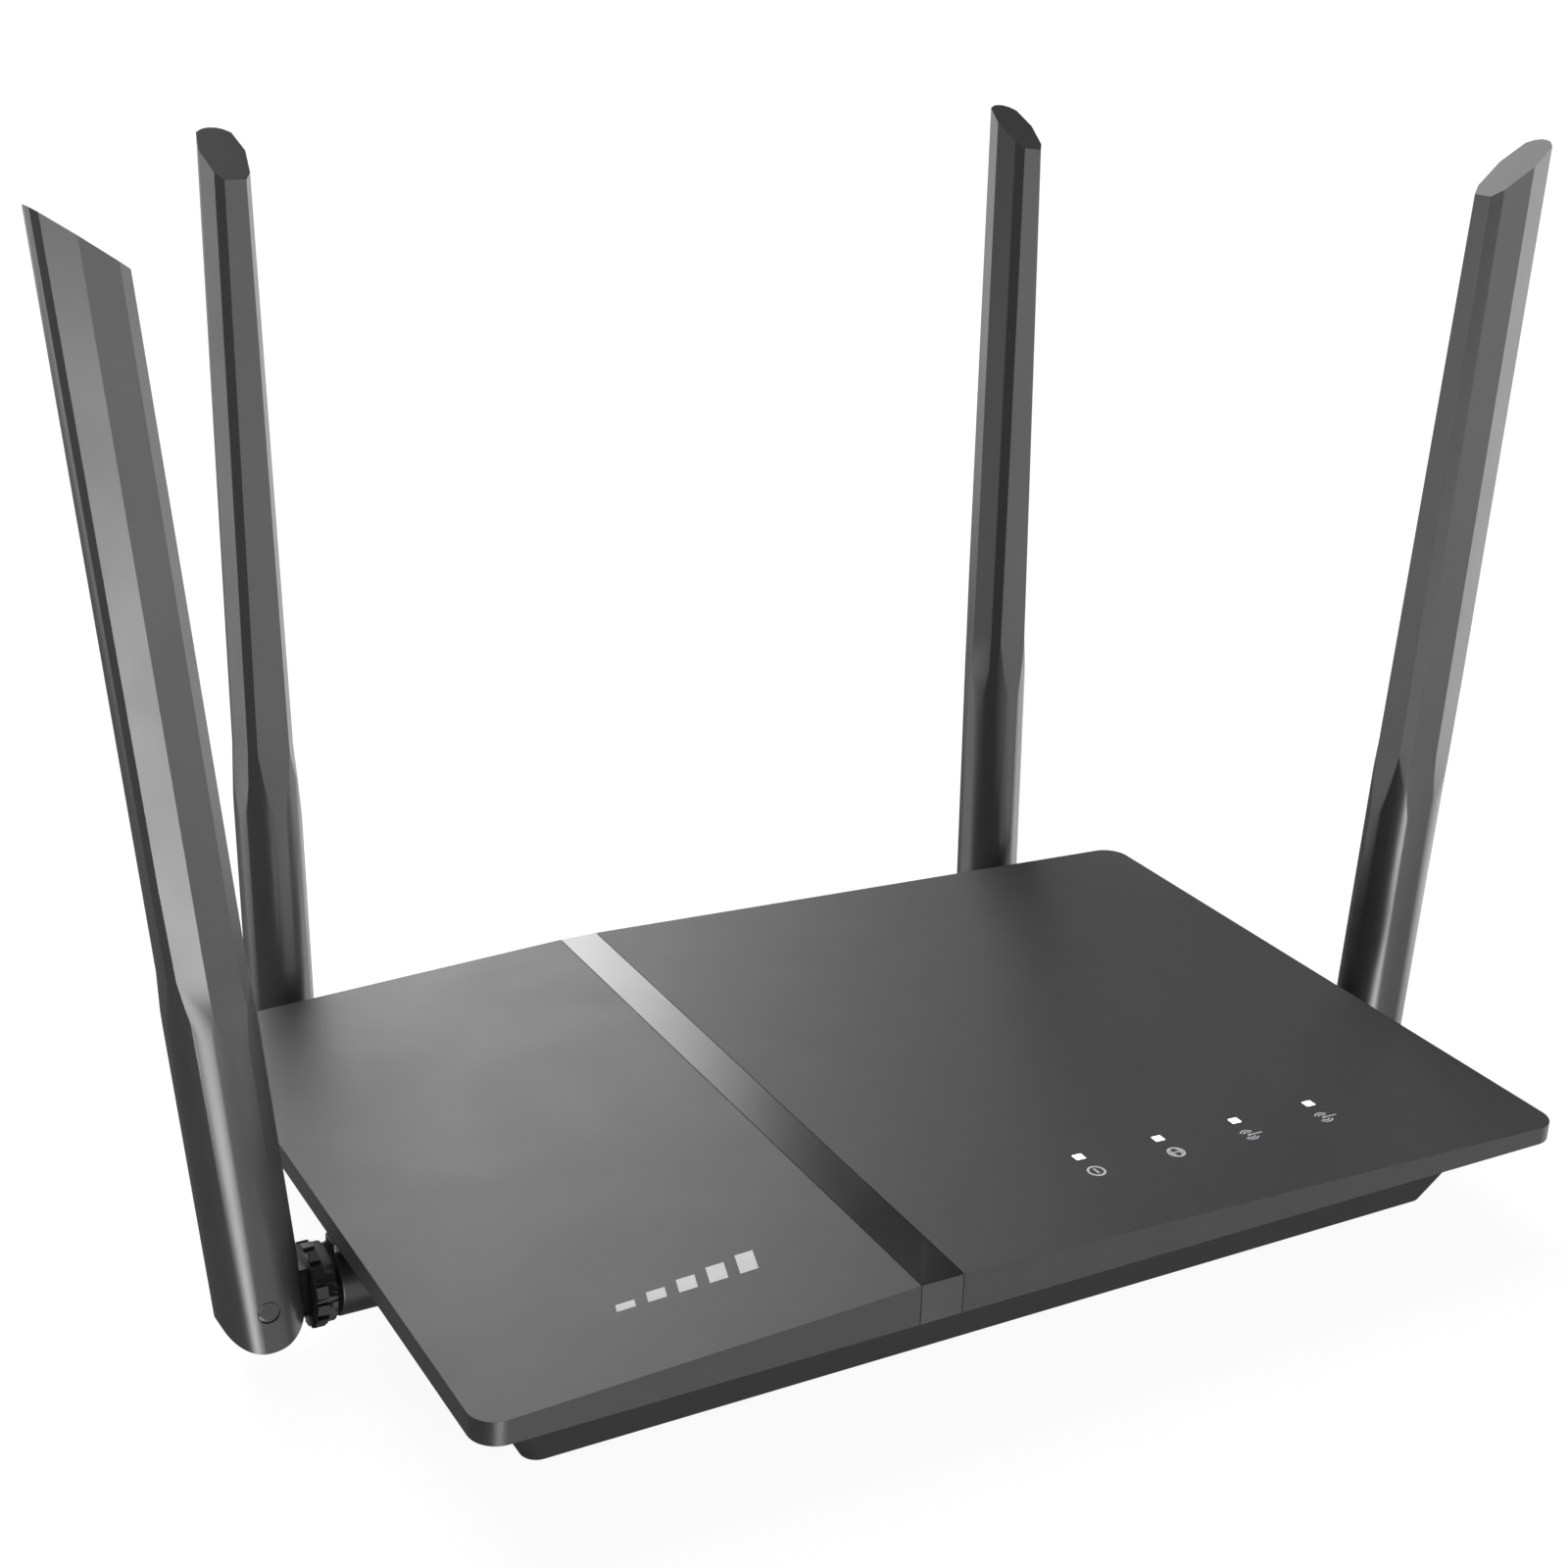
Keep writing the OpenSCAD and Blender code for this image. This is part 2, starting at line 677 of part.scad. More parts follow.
module hinge_pins(a) {
    color([0.2, 0.2, 0.21]) at_blade(a) for (side = [-1, 1]) rotate([side * -90, 0, 0]) {
        translate([0, 0, 1.2]) cylinder(h = blade_t / 2 - 1.7, r = pin_r);
        translate([0, 0, blade_t / 2 - 0.5]) cylinder(h = 0.35, r = 1.8);
    }
}

module element(a) {
    color([0.1, 0.35, 0.2]) at_blade(a) {
        translate([0, 0, 1.4]) cylinder(h = 48, r = coax_r);
        block([7, 0.8, 112], [0, 0, 49]);
    }
}

module lead(a, route) {
    mouth = a[1] + (a[2] == 90 ? [0, -1.4, 0] : [-sign(a[1][0]) * 1.4, 0, 0]);
    color([0.12, 0.12, 0.12]) wire(curve(concat(route, [mouth]), 5), coax_r);
}

// ---------------------------------------------------------------- what is drawn

in_row_frame() top_cover();
in_row_frame() accent_strip();
in_row_frame() bottom_case();
in_row_frame() rear_panel();
in_row_frame() rubber_feet();
in_row_frame() case_screws();
in_row_frame() rating_label();
in_row_frame() main_board();
in_row_frame() board_screws();
in_row_frame() lan_jacks();
in_row_frame() wan_jack();
in_row_frame() jack_contacts();
in_row_frame() dc_jack();
in_row_frame() dc_jack_pin();
in_row_frame() power_switch();
in_row_frame() power_button();
in_row_frame() wps_switch();
in_row_frame() wps_button();
in_row_frame() reset_switch();
in_row_frame() reset_plunger();
in_row_frame() status_leds();
in_row_frame() light_guide();
in_row_frame() main_processor();
in_row_frame() thermal_pad();
in_row_frame() heat_sink();
in_row_frame() memory_chip();
in_row_frame() flash_chip();
in_row_frame() switch_chip();
in_row_frame() radio_chips();
in_row_frame() radio_shields();
in_row_frame() line_transformers();
in_row_frame() capacitors();
in_row_frame() inductors();
in_row_frame() crystals();
in_row_frame() antenna_connectors();
for (i = [0 : len(ANTENNAS) - 1]) {
    a = ANTENNAS[i];
    in_row_frame() socket(a);
    in_row_frame() knuckle(a);
    in_row_frame() hinge_pins(a);
    in_row_frame() blade(a);
    in_row_frame() element(a);
    in_row_frame() lead(a, LEAD_ROUTES[i]);
}
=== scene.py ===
"""Looks of a wireless router: a roof-shaped plate over a tapering tub, with four folding antennas.

Every length is in metres. Sizes that the frame doesn't hold are named in millimetres and
multiplied by MM where they are used.
"""

from __future__ import annotations

import json
import logging
import math
from collections.abc import Iterable, Sequence
from dataclasses import dataclass
from enum import Enum

import bmesh
import bpy
from mathutils import Matrix, Vector
from mathutils.bvhtree import BVHTree

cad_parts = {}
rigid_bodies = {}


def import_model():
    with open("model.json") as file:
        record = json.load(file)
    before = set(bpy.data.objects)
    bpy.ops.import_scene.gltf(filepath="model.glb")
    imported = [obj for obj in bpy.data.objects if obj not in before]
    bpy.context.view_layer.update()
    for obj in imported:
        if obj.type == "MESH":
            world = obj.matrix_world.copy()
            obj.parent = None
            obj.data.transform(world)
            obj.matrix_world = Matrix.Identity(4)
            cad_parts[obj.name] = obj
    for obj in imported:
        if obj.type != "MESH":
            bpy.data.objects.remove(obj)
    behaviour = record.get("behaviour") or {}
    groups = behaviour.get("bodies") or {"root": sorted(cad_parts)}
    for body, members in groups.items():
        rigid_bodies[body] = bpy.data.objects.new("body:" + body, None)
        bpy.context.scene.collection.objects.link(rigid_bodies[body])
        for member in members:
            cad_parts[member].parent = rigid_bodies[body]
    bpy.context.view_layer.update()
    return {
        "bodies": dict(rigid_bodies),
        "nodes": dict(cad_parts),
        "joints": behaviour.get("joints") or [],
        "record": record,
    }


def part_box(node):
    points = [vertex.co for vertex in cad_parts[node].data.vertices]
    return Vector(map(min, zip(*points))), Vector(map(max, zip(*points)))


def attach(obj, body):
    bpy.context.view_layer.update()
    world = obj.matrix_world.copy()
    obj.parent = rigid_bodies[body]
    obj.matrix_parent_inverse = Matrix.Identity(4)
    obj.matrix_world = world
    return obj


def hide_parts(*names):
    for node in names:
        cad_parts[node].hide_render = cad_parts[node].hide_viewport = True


LOG = logging.getLogger("router")
MM = 0.001
DOT_SIDES = 16
DOME_RISE = 0.45  # height of a low dome, as a share of its radius
LIGHT_CROWN = 2.2  # height of the part of each light pipe that glows, in millimetres

Point = tuple[float, float]
Outline = Sequence[Point]


class Carving(Enum):
    """What a tool solid does to the solid that it meets."""

    CUT = "DIFFERENCE"
    KEEP_SHARED = "INTERSECT"


# ------------------------------------------------------------------ shader maths


class Signal:
    """A shader socket that plain arithmetic works on, adding Math nodes as it goes."""

    def __init__(self, graph: "Graph", socket: bpy.types.NodeSocket) -> None:
        """Wraps socket, which belongs to graph."""
        self.graph = graph
        self.socket = socket

    def _math(self, operation: str, *operands: "Signal | float") -> "Signal":
        """Adds one Math node.

        Args:
            operation: The node's operation.
            operands: What goes into it, in order.

        Returns:
            The node's result.
        """
        node = self.graph.add("ShaderNodeMath", {"operation": operation}, dict(enumerate(operands)))
        return Signal(self.graph, node.outputs[0])

    def __add__(self, other: "Signal | float") -> "Signal":
        """self + other."""
        return self._math("ADD", self, other)

    def __radd__(self, other: float) -> "Signal":
        """other + self."""
        return self._math("ADD", other, self)

    def __sub__(self, other: "Signal | float") -> "Signal":
        """self - other."""
        return self._math("SUBTRACT", self, other)

    def __rsub__(self, other: float) -> "Signal":
        """other - self."""
        return self._math("SUBTRACT", other, self)

    def __mul__(self, other: "Signal | float") -> "Signal":
        """self * other."""
        return self._math("MULTIPLY", self, other)

    def __rmul__(self, other: float) -> "Signal":
        """other * self."""
        return self._math("MULTIPLY", other, self)

    def above(self, edge: float) -> "Signal":
        """1 where self is over edge, and 0 elsewhere."""
        return self._math("GREATER_THAN", self, edge)

    def smooth_step(self, low: float, high: float) -> "Signal":
        """0 below low, 1 above high, and an even curve between."""
        settings = {"interpolation_type": "SMOOTHSTEP"}
        limits = {"Value": self, "From Min": low, "From Max": high}
        return self.graph.signal("ShaderNodeMapRange", "Result", settings, limits)


class Graph:
    """A node tree with one method that adds any node."""

    def __init__(self, tree: bpy.types.NodeTree) -> None:
        """Empties tree and keeps it."""
        self.tree = tree
        tree.nodes.clear()

    def add(self, kind: str, settings: dict | None = None, inputs: dict | None = None) -> bpy.types.Node:
        """Adds a node.

        Args:
            kind: The node's type.
            settings: Its properties, set first. "ramp" holds a colour ramp's stops.
            inputs: Values, sockets or signals for its inputs, by name or number.

        Returns:
            The new node.
        """
        node = self.tree.nodes.new(kind)
        for name, value in (settings or {}).items():
            if name == "ramp":
                self._set_ramp(node, value)
            else:
                setattr(node, name, value)
        for key, value in (inputs or {}).items():
            if isinstance(value, Signal):
                self.tree.links.new(value.socket, node.inputs[key])
            elif isinstance(value, bpy.types.NodeSocket):
                self.tree.links.new(value, node.inputs[key])
            else:
                node.inputs[key].default_value = value
        return node

    def signal(self, kind: str, output: str, settings: dict | None, inputs: dict | None) -> Signal:
        """Adds a node as add() does and returns one of its outputs, ready for arithmetic."""
        return Signal(self, self.add(kind, settings, inputs).outputs[output])

    @staticmethod
    def _set_ramp(node: bpy.types.Node, stops: Sequence[tuple[float, float]]) -> None:
        """Gives a colour ramp its grey stops, each a place and a brightness."""
        ramp = node.color_ramp
        while len(ramp.elements) < len(stops):
            ramp.elements.new(0.5)
        for element, (place, grey) in zip(ramp.elements, stops):
            element.position = place
            element.color = (grey, grey, grey, 1.0)


@dataclass(frozen=True)
class Finish:
    """A surface finish: one colour, broken up by soft mottling and a fine moulded grain.

    Sizes are in millimetres.
    """

    slot: str
    colour: tuple[float, float, float]
    roughness: float
    metallic: float = 0.0
    coat: float = 0.0
    mottle: float = 0.08
    mottle_size: float = 9.0
    grain_size: float = 0.22
    grain_depth: float = 0.010
    roughness_swing: float = 0.05
    roughness_spread: float = 1.7

    def build(self) -> bpy.types.Material:
        """Makes the material."""
        material = bpy.data.materials.new(self.slot)
        material.use_nodes = True
        graph = Graph(material.node_tree)
        place = graph.add("ShaderNodeTexCoord").outputs["Object"]
        shader = graph.add(
            "ShaderNodeBsdfPrincipled",
            {},
            {
                "Base Color": self.paint(graph, place),
                "Roughness": self.shine(graph, place),
                "Metallic": self.metallic,
                "Coat Weight": self.coat,
                "Normal": self.relief(graph, place),
            },
        )
        self.extra(graph, place, shader)
        graph.add("ShaderNodeOutputMaterial", {}, {"Surface": shader.outputs["BSDF"]})
        return material

    @staticmethod
    def cloud(graph: Graph, place: bpy.types.NodeSocket, size: float, detail: float = 3.0) -> Signal:
        """Soft noise about 0.5, with features of that size in millimetres."""
        inputs = {"Vector": place, "Scale": 1.0 / (size * MM), "Detail": detail}
        return graph.signal("ShaderNodeTexNoise", "Fac", {}, inputs)

    def bump(self, graph: Graph, height: Signal, strength: float) -> bpy.types.NodeSocket:
        """Relief as deep as the finish's grain."""
        inputs = {"Strength": strength, "Distance": self.grain_depth * MM, "Height": height}
        return graph.add("ShaderNodeBump", {}, inputs).outputs["Normal"]

    @staticmethod
    def blend(graph: Graph, share: Signal, first: tuple, second: tuple) -> bpy.types.NodeSocket:
        """Mixes two colours by share."""
        node = graph.add("ShaderNodeMix", {"data_type": "RGBA"}, {0: share, 6: first, 7: second})
        return node.outputs[2]

    def tone(self, factor: float) -> tuple[float, float, float, float]:
        """The colour, made lighter or darker by factor."""
        return (*(min(1.0, c * factor) for c in self.colour), 1.0)

    def paint(self, graph: Graph, place: bpy.types.NodeSocket) -> bpy.types.NodeSocket:
        """The base colour with its mottling."""
        share = self.cloud(graph, place, self.mottle_size)
        return self.blend(graph, share, self.tone(1 - self.mottle), self.tone(1 + self.mottle))

    def shine(self, graph: Graph, place: bpy.types.NodeSocket) -> Signal:
        """The roughness, which wanders a little over the surface."""
        wander = self.cloud(graph, place, self.mottle_size * self.roughness_spread) - 0.5
        return self.roughness + wander * (2 * self.roughness_swing)

    def relief(self, graph: Graph, place: bpy.types.NodeSocket) -> bpy.types.NodeSocket:
        """The grain, as a bump."""
        return self.bump(graph, self.cloud(graph, place, self.grain_size, 2.0), 0.6)

    def extra(self, graph: Graph, place: bpy.types.NodeSocket, shader: bpy.types.Node) -> None:
        """Anything more that a finish needs on its shader."""


@dataclass(frozen=True)
class Brushed(Finish):
    """Metal drawn along one axis, with long fine scratches."""

    stretch: float = 14.0

    def relief(self, graph: Graph, place: bpy.types.NodeSocket) -> bpy.types.NodeSocket:
        """Scratches along Y."""
        drawn = graph.add("ShaderNodeMapping", {}, {"Vector": place, "Scale": (1.0, 1.0 / self.stretch, 1.0)})
        return self.bump(graph, self.cloud(graph, drawn.outputs["Vector"], self.grain_size, 2.0), 0.5)


@dataclass(frozen=True)
class Laminate(Finish):
    """Solder mask over copper, with raised tracks in a staggered grid."""

    pitch: float = 2.2

    def tracks(self, graph: Graph, place: bpy.types.NodeSocket) -> Signal:
        """1 on the tracks and 0 between them."""
        pattern = {"offset": 0.37, "squash": 1.6, "squash_frequency": 3}
        scale = 1.0 / (self.pitch * MM * 4)
        sizes = {"Scale": scale, "Mortar Size": 0.035, "Brick Width": 0.9, "Row Height": 0.22}
        return graph.signal("ShaderNodeTexBrick", "Fac", pattern, {"Vector": place, **sizes})

    def paint(self, graph: Graph, place: bpy.types.NodeSocket) -> bpy.types.NodeSocket:
        """Mask that is lighter where copper lies under it."""
        return self.blend(graph, self.tracks(graph, place), self.tone(0.8), self.tone(1.7))

    def relief(self, graph: Graph, place: bpy.types.NodeSocket) -> bpy.types.NodeSocket:
        """Tracks that stand a little proud."""
        return self.bump(graph, self.tracks(graph, place), 0.7)


@dataclass(frozen=True)
class LightPipe(Finish):
    """Pale rods that glow in a crown at their top."""

    glow_from: float = 0.0
    strength: float = 3.0

    def extra(self, graph: Graph, place: bpy.types.NodeSocket, shader: bpy.types.Node) -> None:
        """Lights what is above glow_from."""
        height = graph.signal("ShaderNodeSeparateXYZ", "Z", {}, {"Vector": place})
        lit = height.above(self.glow_from)
        colour = self.blend(graph, lit, (0.0, 0.0, 0.0, 1.0), (1.0, 1.0, 1.0, 1.0))
        graph.tree.links.new(colour, shader.inputs["Emission Color"])
        shader.inputs["Emission Strength"].default_value = self.strength


# ------------------------------------------------------------------ solids


def circle(radius: float, count: int, centre: Point = (0.0, 0.0), start: float = 0.0) -> list[Point]:
    """A regular outline of count points, counterclockwise from start in radians."""
    steps = (start + math.tau * i / count for i in range(count))
    return [(centre[0] + radius * math.cos(t), centre[1] + radius * math.sin(t)) for t in steps]


def rectangle(width: float, height: float, centre: Point = (0.0, 0.0)) -> list[Point]:
    """A rectangle's four corners."""
    x, y = centre
    signs = ((-1, -1), (1, -1), (1, 1), (-1, 1))
    return [(x + sx * width / 2, y + sy * height / 2) for sx, sy in signs]


def stadium(width: float, height: float, count: int) -> list[Point]:
    """A wide outline with round ends, of count points in all."""
    offset = (width - height) / 2
    right = [(offset + x, y) for x, y in circle(height / 2, count, start=-math.pi / 2)[: count // 2 + 1]]
    left = [(-x, -y) for x, y in right]
    return right + left


def arc_band(centre: Point, radii: Point, angles: Point, count: int = 20) -> list[Point]:
    """A curved bar between two radii, inner first, and two angles in degrees."""
    first, last = angles
    turns = [math.radians(first + (last - first) * i / count) for i in range(count + 1)]
    ends = ((radii[1], turns), (radii[0], reversed(turns)))
    return [(centre[0] + r * math.cos(t), centre[1] + r * math.sin(t)) for r, path in ends for t in path]


def ring_band(centre: Point, inner: float, outer: float) -> list[list[Point]]:
    """A ring, as two half-round bars."""
    return [arc_band(centre, (inner, outer), angles) for angles in ((0, 180), (180, 360))]


def new_object(name: str, mesh: bpy.types.Mesh) -> bpy.types.Object:
    """Puts a mesh in the scene as an object."""
    thing = bpy.data.objects.new(name, mesh)
    bpy.context.scene.collection.objects.link(thing)
    return thing


def object_from(name: str, shape: bmesh.types.BMesh) -> bpy.types.Object:
    """Turns shape into an object with its faces outwards, and frees it."""
    bmesh.ops.recalc_face_normals(shape, faces=shape.faces)
    mesh = bpy.data.meshes.new(name)
    shape.to_mesh(mesh)
    shape.free()
    return new_object(name, mesh)


def loft_into(shape: bmesh.types.BMesh, rings: Sequence[Sequence[Vector]]) -> None:
    """Adds a closed solid through rings of equal counts to shape."""
    made = [[shape.verts.new(p) for p in ring] for ring in rings]
    count = len(made[0])
    for low, high in zip(made, made[1:]):
        for i in range(count):
            j = (i + 1) % count
            shape.faces.new((low[i], low[j], high[j], high[i]))
    shape.faces.new(list(reversed(made[0])))
    shape.faces.new(made[-1])


def prism(
    name: str, outline: Outline, low: float, high: float, place: Matrix | None = None
) -> bpy.types.Object:
    """An outline drawn up from low to high.

    Args:
        name: The object's name.
        outline: The points, counterclockwise.
        low: Height of its foot.
        high: Height of its top.
        place: Where the solid is moved to, if anywhere.

    Returns:
        The solid.
    """
    shape = bmesh.new()
    loft_into(shape, [[Vector((x, y, z)) for x, y in outline] for z in (low, high)])
    if place is not None:
        shape.transform(place)
    return object_from(name, shape)


def baked(thing: bpy.types.Object) -> bpy.types.Object:
    """Turns an object's modifiers into its plain mesh."""
    graph = bpy.context.evaluated_depsgraph_get()
    mesh = bpy.data.meshes.new_from_object(thing.evaluated_get(graph))
    thing.modifiers.clear()
    thing.data = mesh
    return thing


def carve(base: bpy.types.Object, tool: bpy.types.Object, what: Carving = Carving.CUT) -> None:
    """Works tool into base, and removes tool."""
    modifier = base.modifiers.new("carve", "BOOLEAN")
    modifier.object, modifier.operation, modifier.solver = tool, what.value, "EXACT"
    bpy.context.view_layer.update()
    baked(base)
    bpy.data.objects.remove(tool)


def soften(thing: bpy.types.Object, width: float, angle: float = 30.0, segments: int = 2) -> bpy.types.Object:
    """Rounds the edges that are sharper than angle in degrees, and shades the result smoothly.

    Args:
        thing: The solid.
        width: Width of each rounded edge.
        angle: The least turn that counts as an edge.
        segments: Steps across each rounded edge.

    Returns:
        The same object.
    """
    thing.data.polygons.foreach_set("use_smooth", [True] * len(thing.data.polygons))
    bevel = thing.modifiers.new("edges", "BEVEL")
    bevel.width, bevel.segments = width, segments
    bevel.limit_method, bevel.angle_limit = "ANGLE", math.radians(angle)
    bevel.use_clamp_overlap, bevel.miter_outer = True, "MITER_ARC"
    normals = thing.modifiers.new("normals", "WEIGHTED_NORMAL")
    normals.keep_sharp, normals.mode = True, "FACE_AREA"
    return baked(thing)


def cad_copy(node: bpy.types.Object, name: str) -> bpy.types.Object:
    """A merged copy of a CAD node, with its flat faces cleaned up: none has more than four corners."""
    mesh = bpy.data.meshes.new(name)
    mesh.from_pydata([v.co for v in node.data.vertices], [], [tuple(p.vertices) for p in node.data.polygons])
    shape = bmesh.new()
    shape.from_mesh(mesh)
    bpy.data.meshes.remove(mesh)
    bmesh.ops.remove_doubles(shape, verts=shape.verts, dist=0.002 * MM)
    bmesh.ops.dissolve_limit(shape, angle_limit=math.radians(0.4), verts=shape.verts, edges=shape.edges)
    bmesh.ops.triangulate(shape, faces=[f for f in shape.faces if len(f.verts) > 4])
    return object_from(name, shape)


def joined(name: str, things: Iterable[bpy.types.Object]) -> bpy.types.Object:
    """One object from several, whose own are removed."""
    shape = bmesh.new()
    for thing in things:
        shape.from_mesh(thing.data)
        bpy.data.objects.remove(thing)
    mesh = bpy.data.meshes.new(name)
    shape.to_mesh(mesh)
    shape.free()
    return new_object(name, mesh)


# ------------------------------------------------------------------ repeats by geometry nodes


class Pattern:
    """A Geometry Nodes tree with named inputs, run once to make a plain mesh."""

    def __init__(self, name: str, inputs: dict[str, float | int | tuple], finish: bpy.types.Material) -> None:
        """Starts the tree.

        Args:
            name: The tree's name.
            inputs: Each named input and its value.
            finish: What the result is made of.
        """
        self.tree = bpy.data.node_groups.new(name, "GeometryNodeTree")
        self.graph = Graph(self.tree)
        self.values = inputs
        self.finish = finish
        self.sockets = {}
        for label, value in inputs.items():
            kind = {int: "NodeSocketInt", float: "NodeSocketFloat"}.get(type(value), "NodeSocketVector")
            self.sockets[label] = self.tree.interface.new_socket(label, in_out="INPUT", socket_type=kind)
        self.tree.interface.new_socket("Geometry", in_out="OUTPUT", socket_type="NodeSocketGeometry")
        self.given = self.graph.add("NodeGroupInput")

    def input(self, label: str) -> bpy.types.NodeSocket:
        """The socket that holds a named input."""
        return self.given.outputs[label]

    def on_points(self, points: bpy.types.NodeSocket, item: bpy.types.NodeSocket, **more: object) -> None:
        """Ends the tree: item on every point, made real and given its finish."""
        inputs = {"Points": points, "Instance": item, **more}
        placed = self.graph.add("GeometryNodeInstanceOnPoints", {}, inputs)
        real = self.graph.add("GeometryNodeRealizeInstances", {}, {"Geometry": placed.outputs["Instances"]})
        painted = self.graph.add(
            "GeometryNodeSetMaterial", {}, {"Geometry": real.outputs["Geometry"], "Material": self.finish}
        )
        self.graph.add("NodeGroupOutput", {}, {"Geometry": painted.outputs["Geometry"]})

    def run(self, name: str, place: Matrix) -> bpy.types.Object:
        """Makes the pattern's mesh.

        Args:
            name: The piece's name.
            place: Where the pattern's own origin and axes go.

        Returns:
            The piece, at the origin, with its place in its mesh.
        """
        thing = new_object(name, bpy.data.meshes.new(name))
        modifier = thing.modifiers.new("pattern", "NODES")
        modifier.node_group = self.tree
        for label, value in self.values.items():
            modifier[self.sockets[label].identifier] = value
        bpy.context.view_layer.update()
        baked(thing)
        thing.data.transform(place)
        return thing


def row_of_blocks(
    name: str, count: int, pitch: float, block: Sequence[float], finish: bpy.types.Material
) -> Pattern:
    """Blocks in a row along X, centred on the origin, such as a chip's legs or a button's ribs."""
    pattern = Pattern(name, {"Count": count, "Pitch": pitch, "Block": block}, finish)
    graph = pattern.graph
    steps = Signal(graph, pattern.input("Count")) - 1.0
    first = steps * Signal(graph, pattern.input("Pitch")) * -0.5
    start = graph.add("ShaderNodeCombineXYZ", {}, {"X": first})
    step = graph.add("ShaderNodeCombineXYZ", {}, {"X": pattern.input("Pitch")})
    ends = {"Start Location": start.outputs[0], "Offset": step.outputs[0]}
    line = graph.add("GeometryNodeMeshLine", {}, {"Count": pattern.input("Count"), **ends})
    item = graph.add("GeometryNodeMeshCube", {}, {"Size": pattern.input("Block")})
    pattern.on_points(line.outputs["Mesh"], item.outputs["Mesh"])
    return pattern


def grid_of_domes(
    name: str, size: Point, counts: tuple[int, int], radius: float, finish: bpy.types.Material
) -> Pattern:
    """Low domes on a flat grid, such as solder joints or a foot's studs."""
    inputs = {"Width": size[0], "Depth": size[1], "Columns": counts[0], "Rows": counts[1], "Radius": radius}
    pattern = Pattern(name, inputs, finish)
    sides = {"Size X": "Width", "Size Y": "Depth", "Vertices X": "Columns", "Vertices Y": "Rows"}
    grid = pattern.graph.add(
        "GeometryNodeMeshGrid", {}, {socket: pattern.input(label) for socket, label in sides.items()}
    )
    dome = pattern.graph.add(
        "GeometryNodeMeshUVSphere", {}, {"Segments": 10, "Rings": 6, "Radius": pattern.input("Radius")}
    )
    pattern.on_points(grid.outputs["Mesh"], dome.outputs["Mesh"], Scale=(1.0, 1.0, DOME_RISE))
    return pattern


# ------------------------------------------------------------------ workshop


class Workshop:
    """Holds the frame and the finishes, and hands finished pieces to the frame."""

    def __init__(self, frame: dict, finishes: Iterable[Finish]) -> None:
        """Keeps the frame and builds every finish."""
        self.nodes = frame["nodes"]
        self.joints = {j["name"]: j for j in frame["joints"]}
        self.node_slots = {s["node"]: s["material_slot"] for s in frame["record"]["subparts"]}
        self.record_slots = {m["slot"] for m in frame["record"]["materials"]}
        self.body_of = {n: b for b, ns in frame["record"]["behaviour"]["bodies"].items() for n in ns}
        self.materials = {f.slot: f.build() for f in finishes}

    def dress_nodes(self) -> None:
        """Gives every CAD node the finish of its own slot."""
        for name, node in self.nodes.items():
            material = self.materials[self.node_slots[name]]
            if not node.material_slots:
                node.data.materials.append(material)
            for place in node.material_slots:
                place.material = material

    def hand_over(
        self, piece: bpy.types.Object, body: str, finish: str, replaces: Sequence[str] = ()
    ) -> None:
        """Finishes a piece: its material, its body and the nodes that it stands for.

        Args:
            piece: The piece, in place.
            body: The body that it rides on.
            finish: The name of its finish, which is the record's slot where the record has it.
            replaces: CAD nodes that it stands for.
        """
        piece.data.materials.clear()
        piece.data.materials.append(self.materials[finish])
        finish in self.record_slots
        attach(piece, body)
        if replaces:
            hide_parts(*replaces)
        LOG.info("%s: %d faces on %s", piece.name, len(piece.data.polygons), body)

    def soften_node(self, node: str, width: float) -> None:
        """Replaces a CAD node with a copy whose edges are rounded.

        Args:
            node: The node.
            width: Width of each rounded edge, in millimetres.
        """
        piece = soften(cad_copy(self.nodes[node], f"{node}_soft"), width * MM)
        self.hand_over(piece, self.body_of[node], self.node_slots[node], [node])


# ------------------------------------------------------------------ top plate


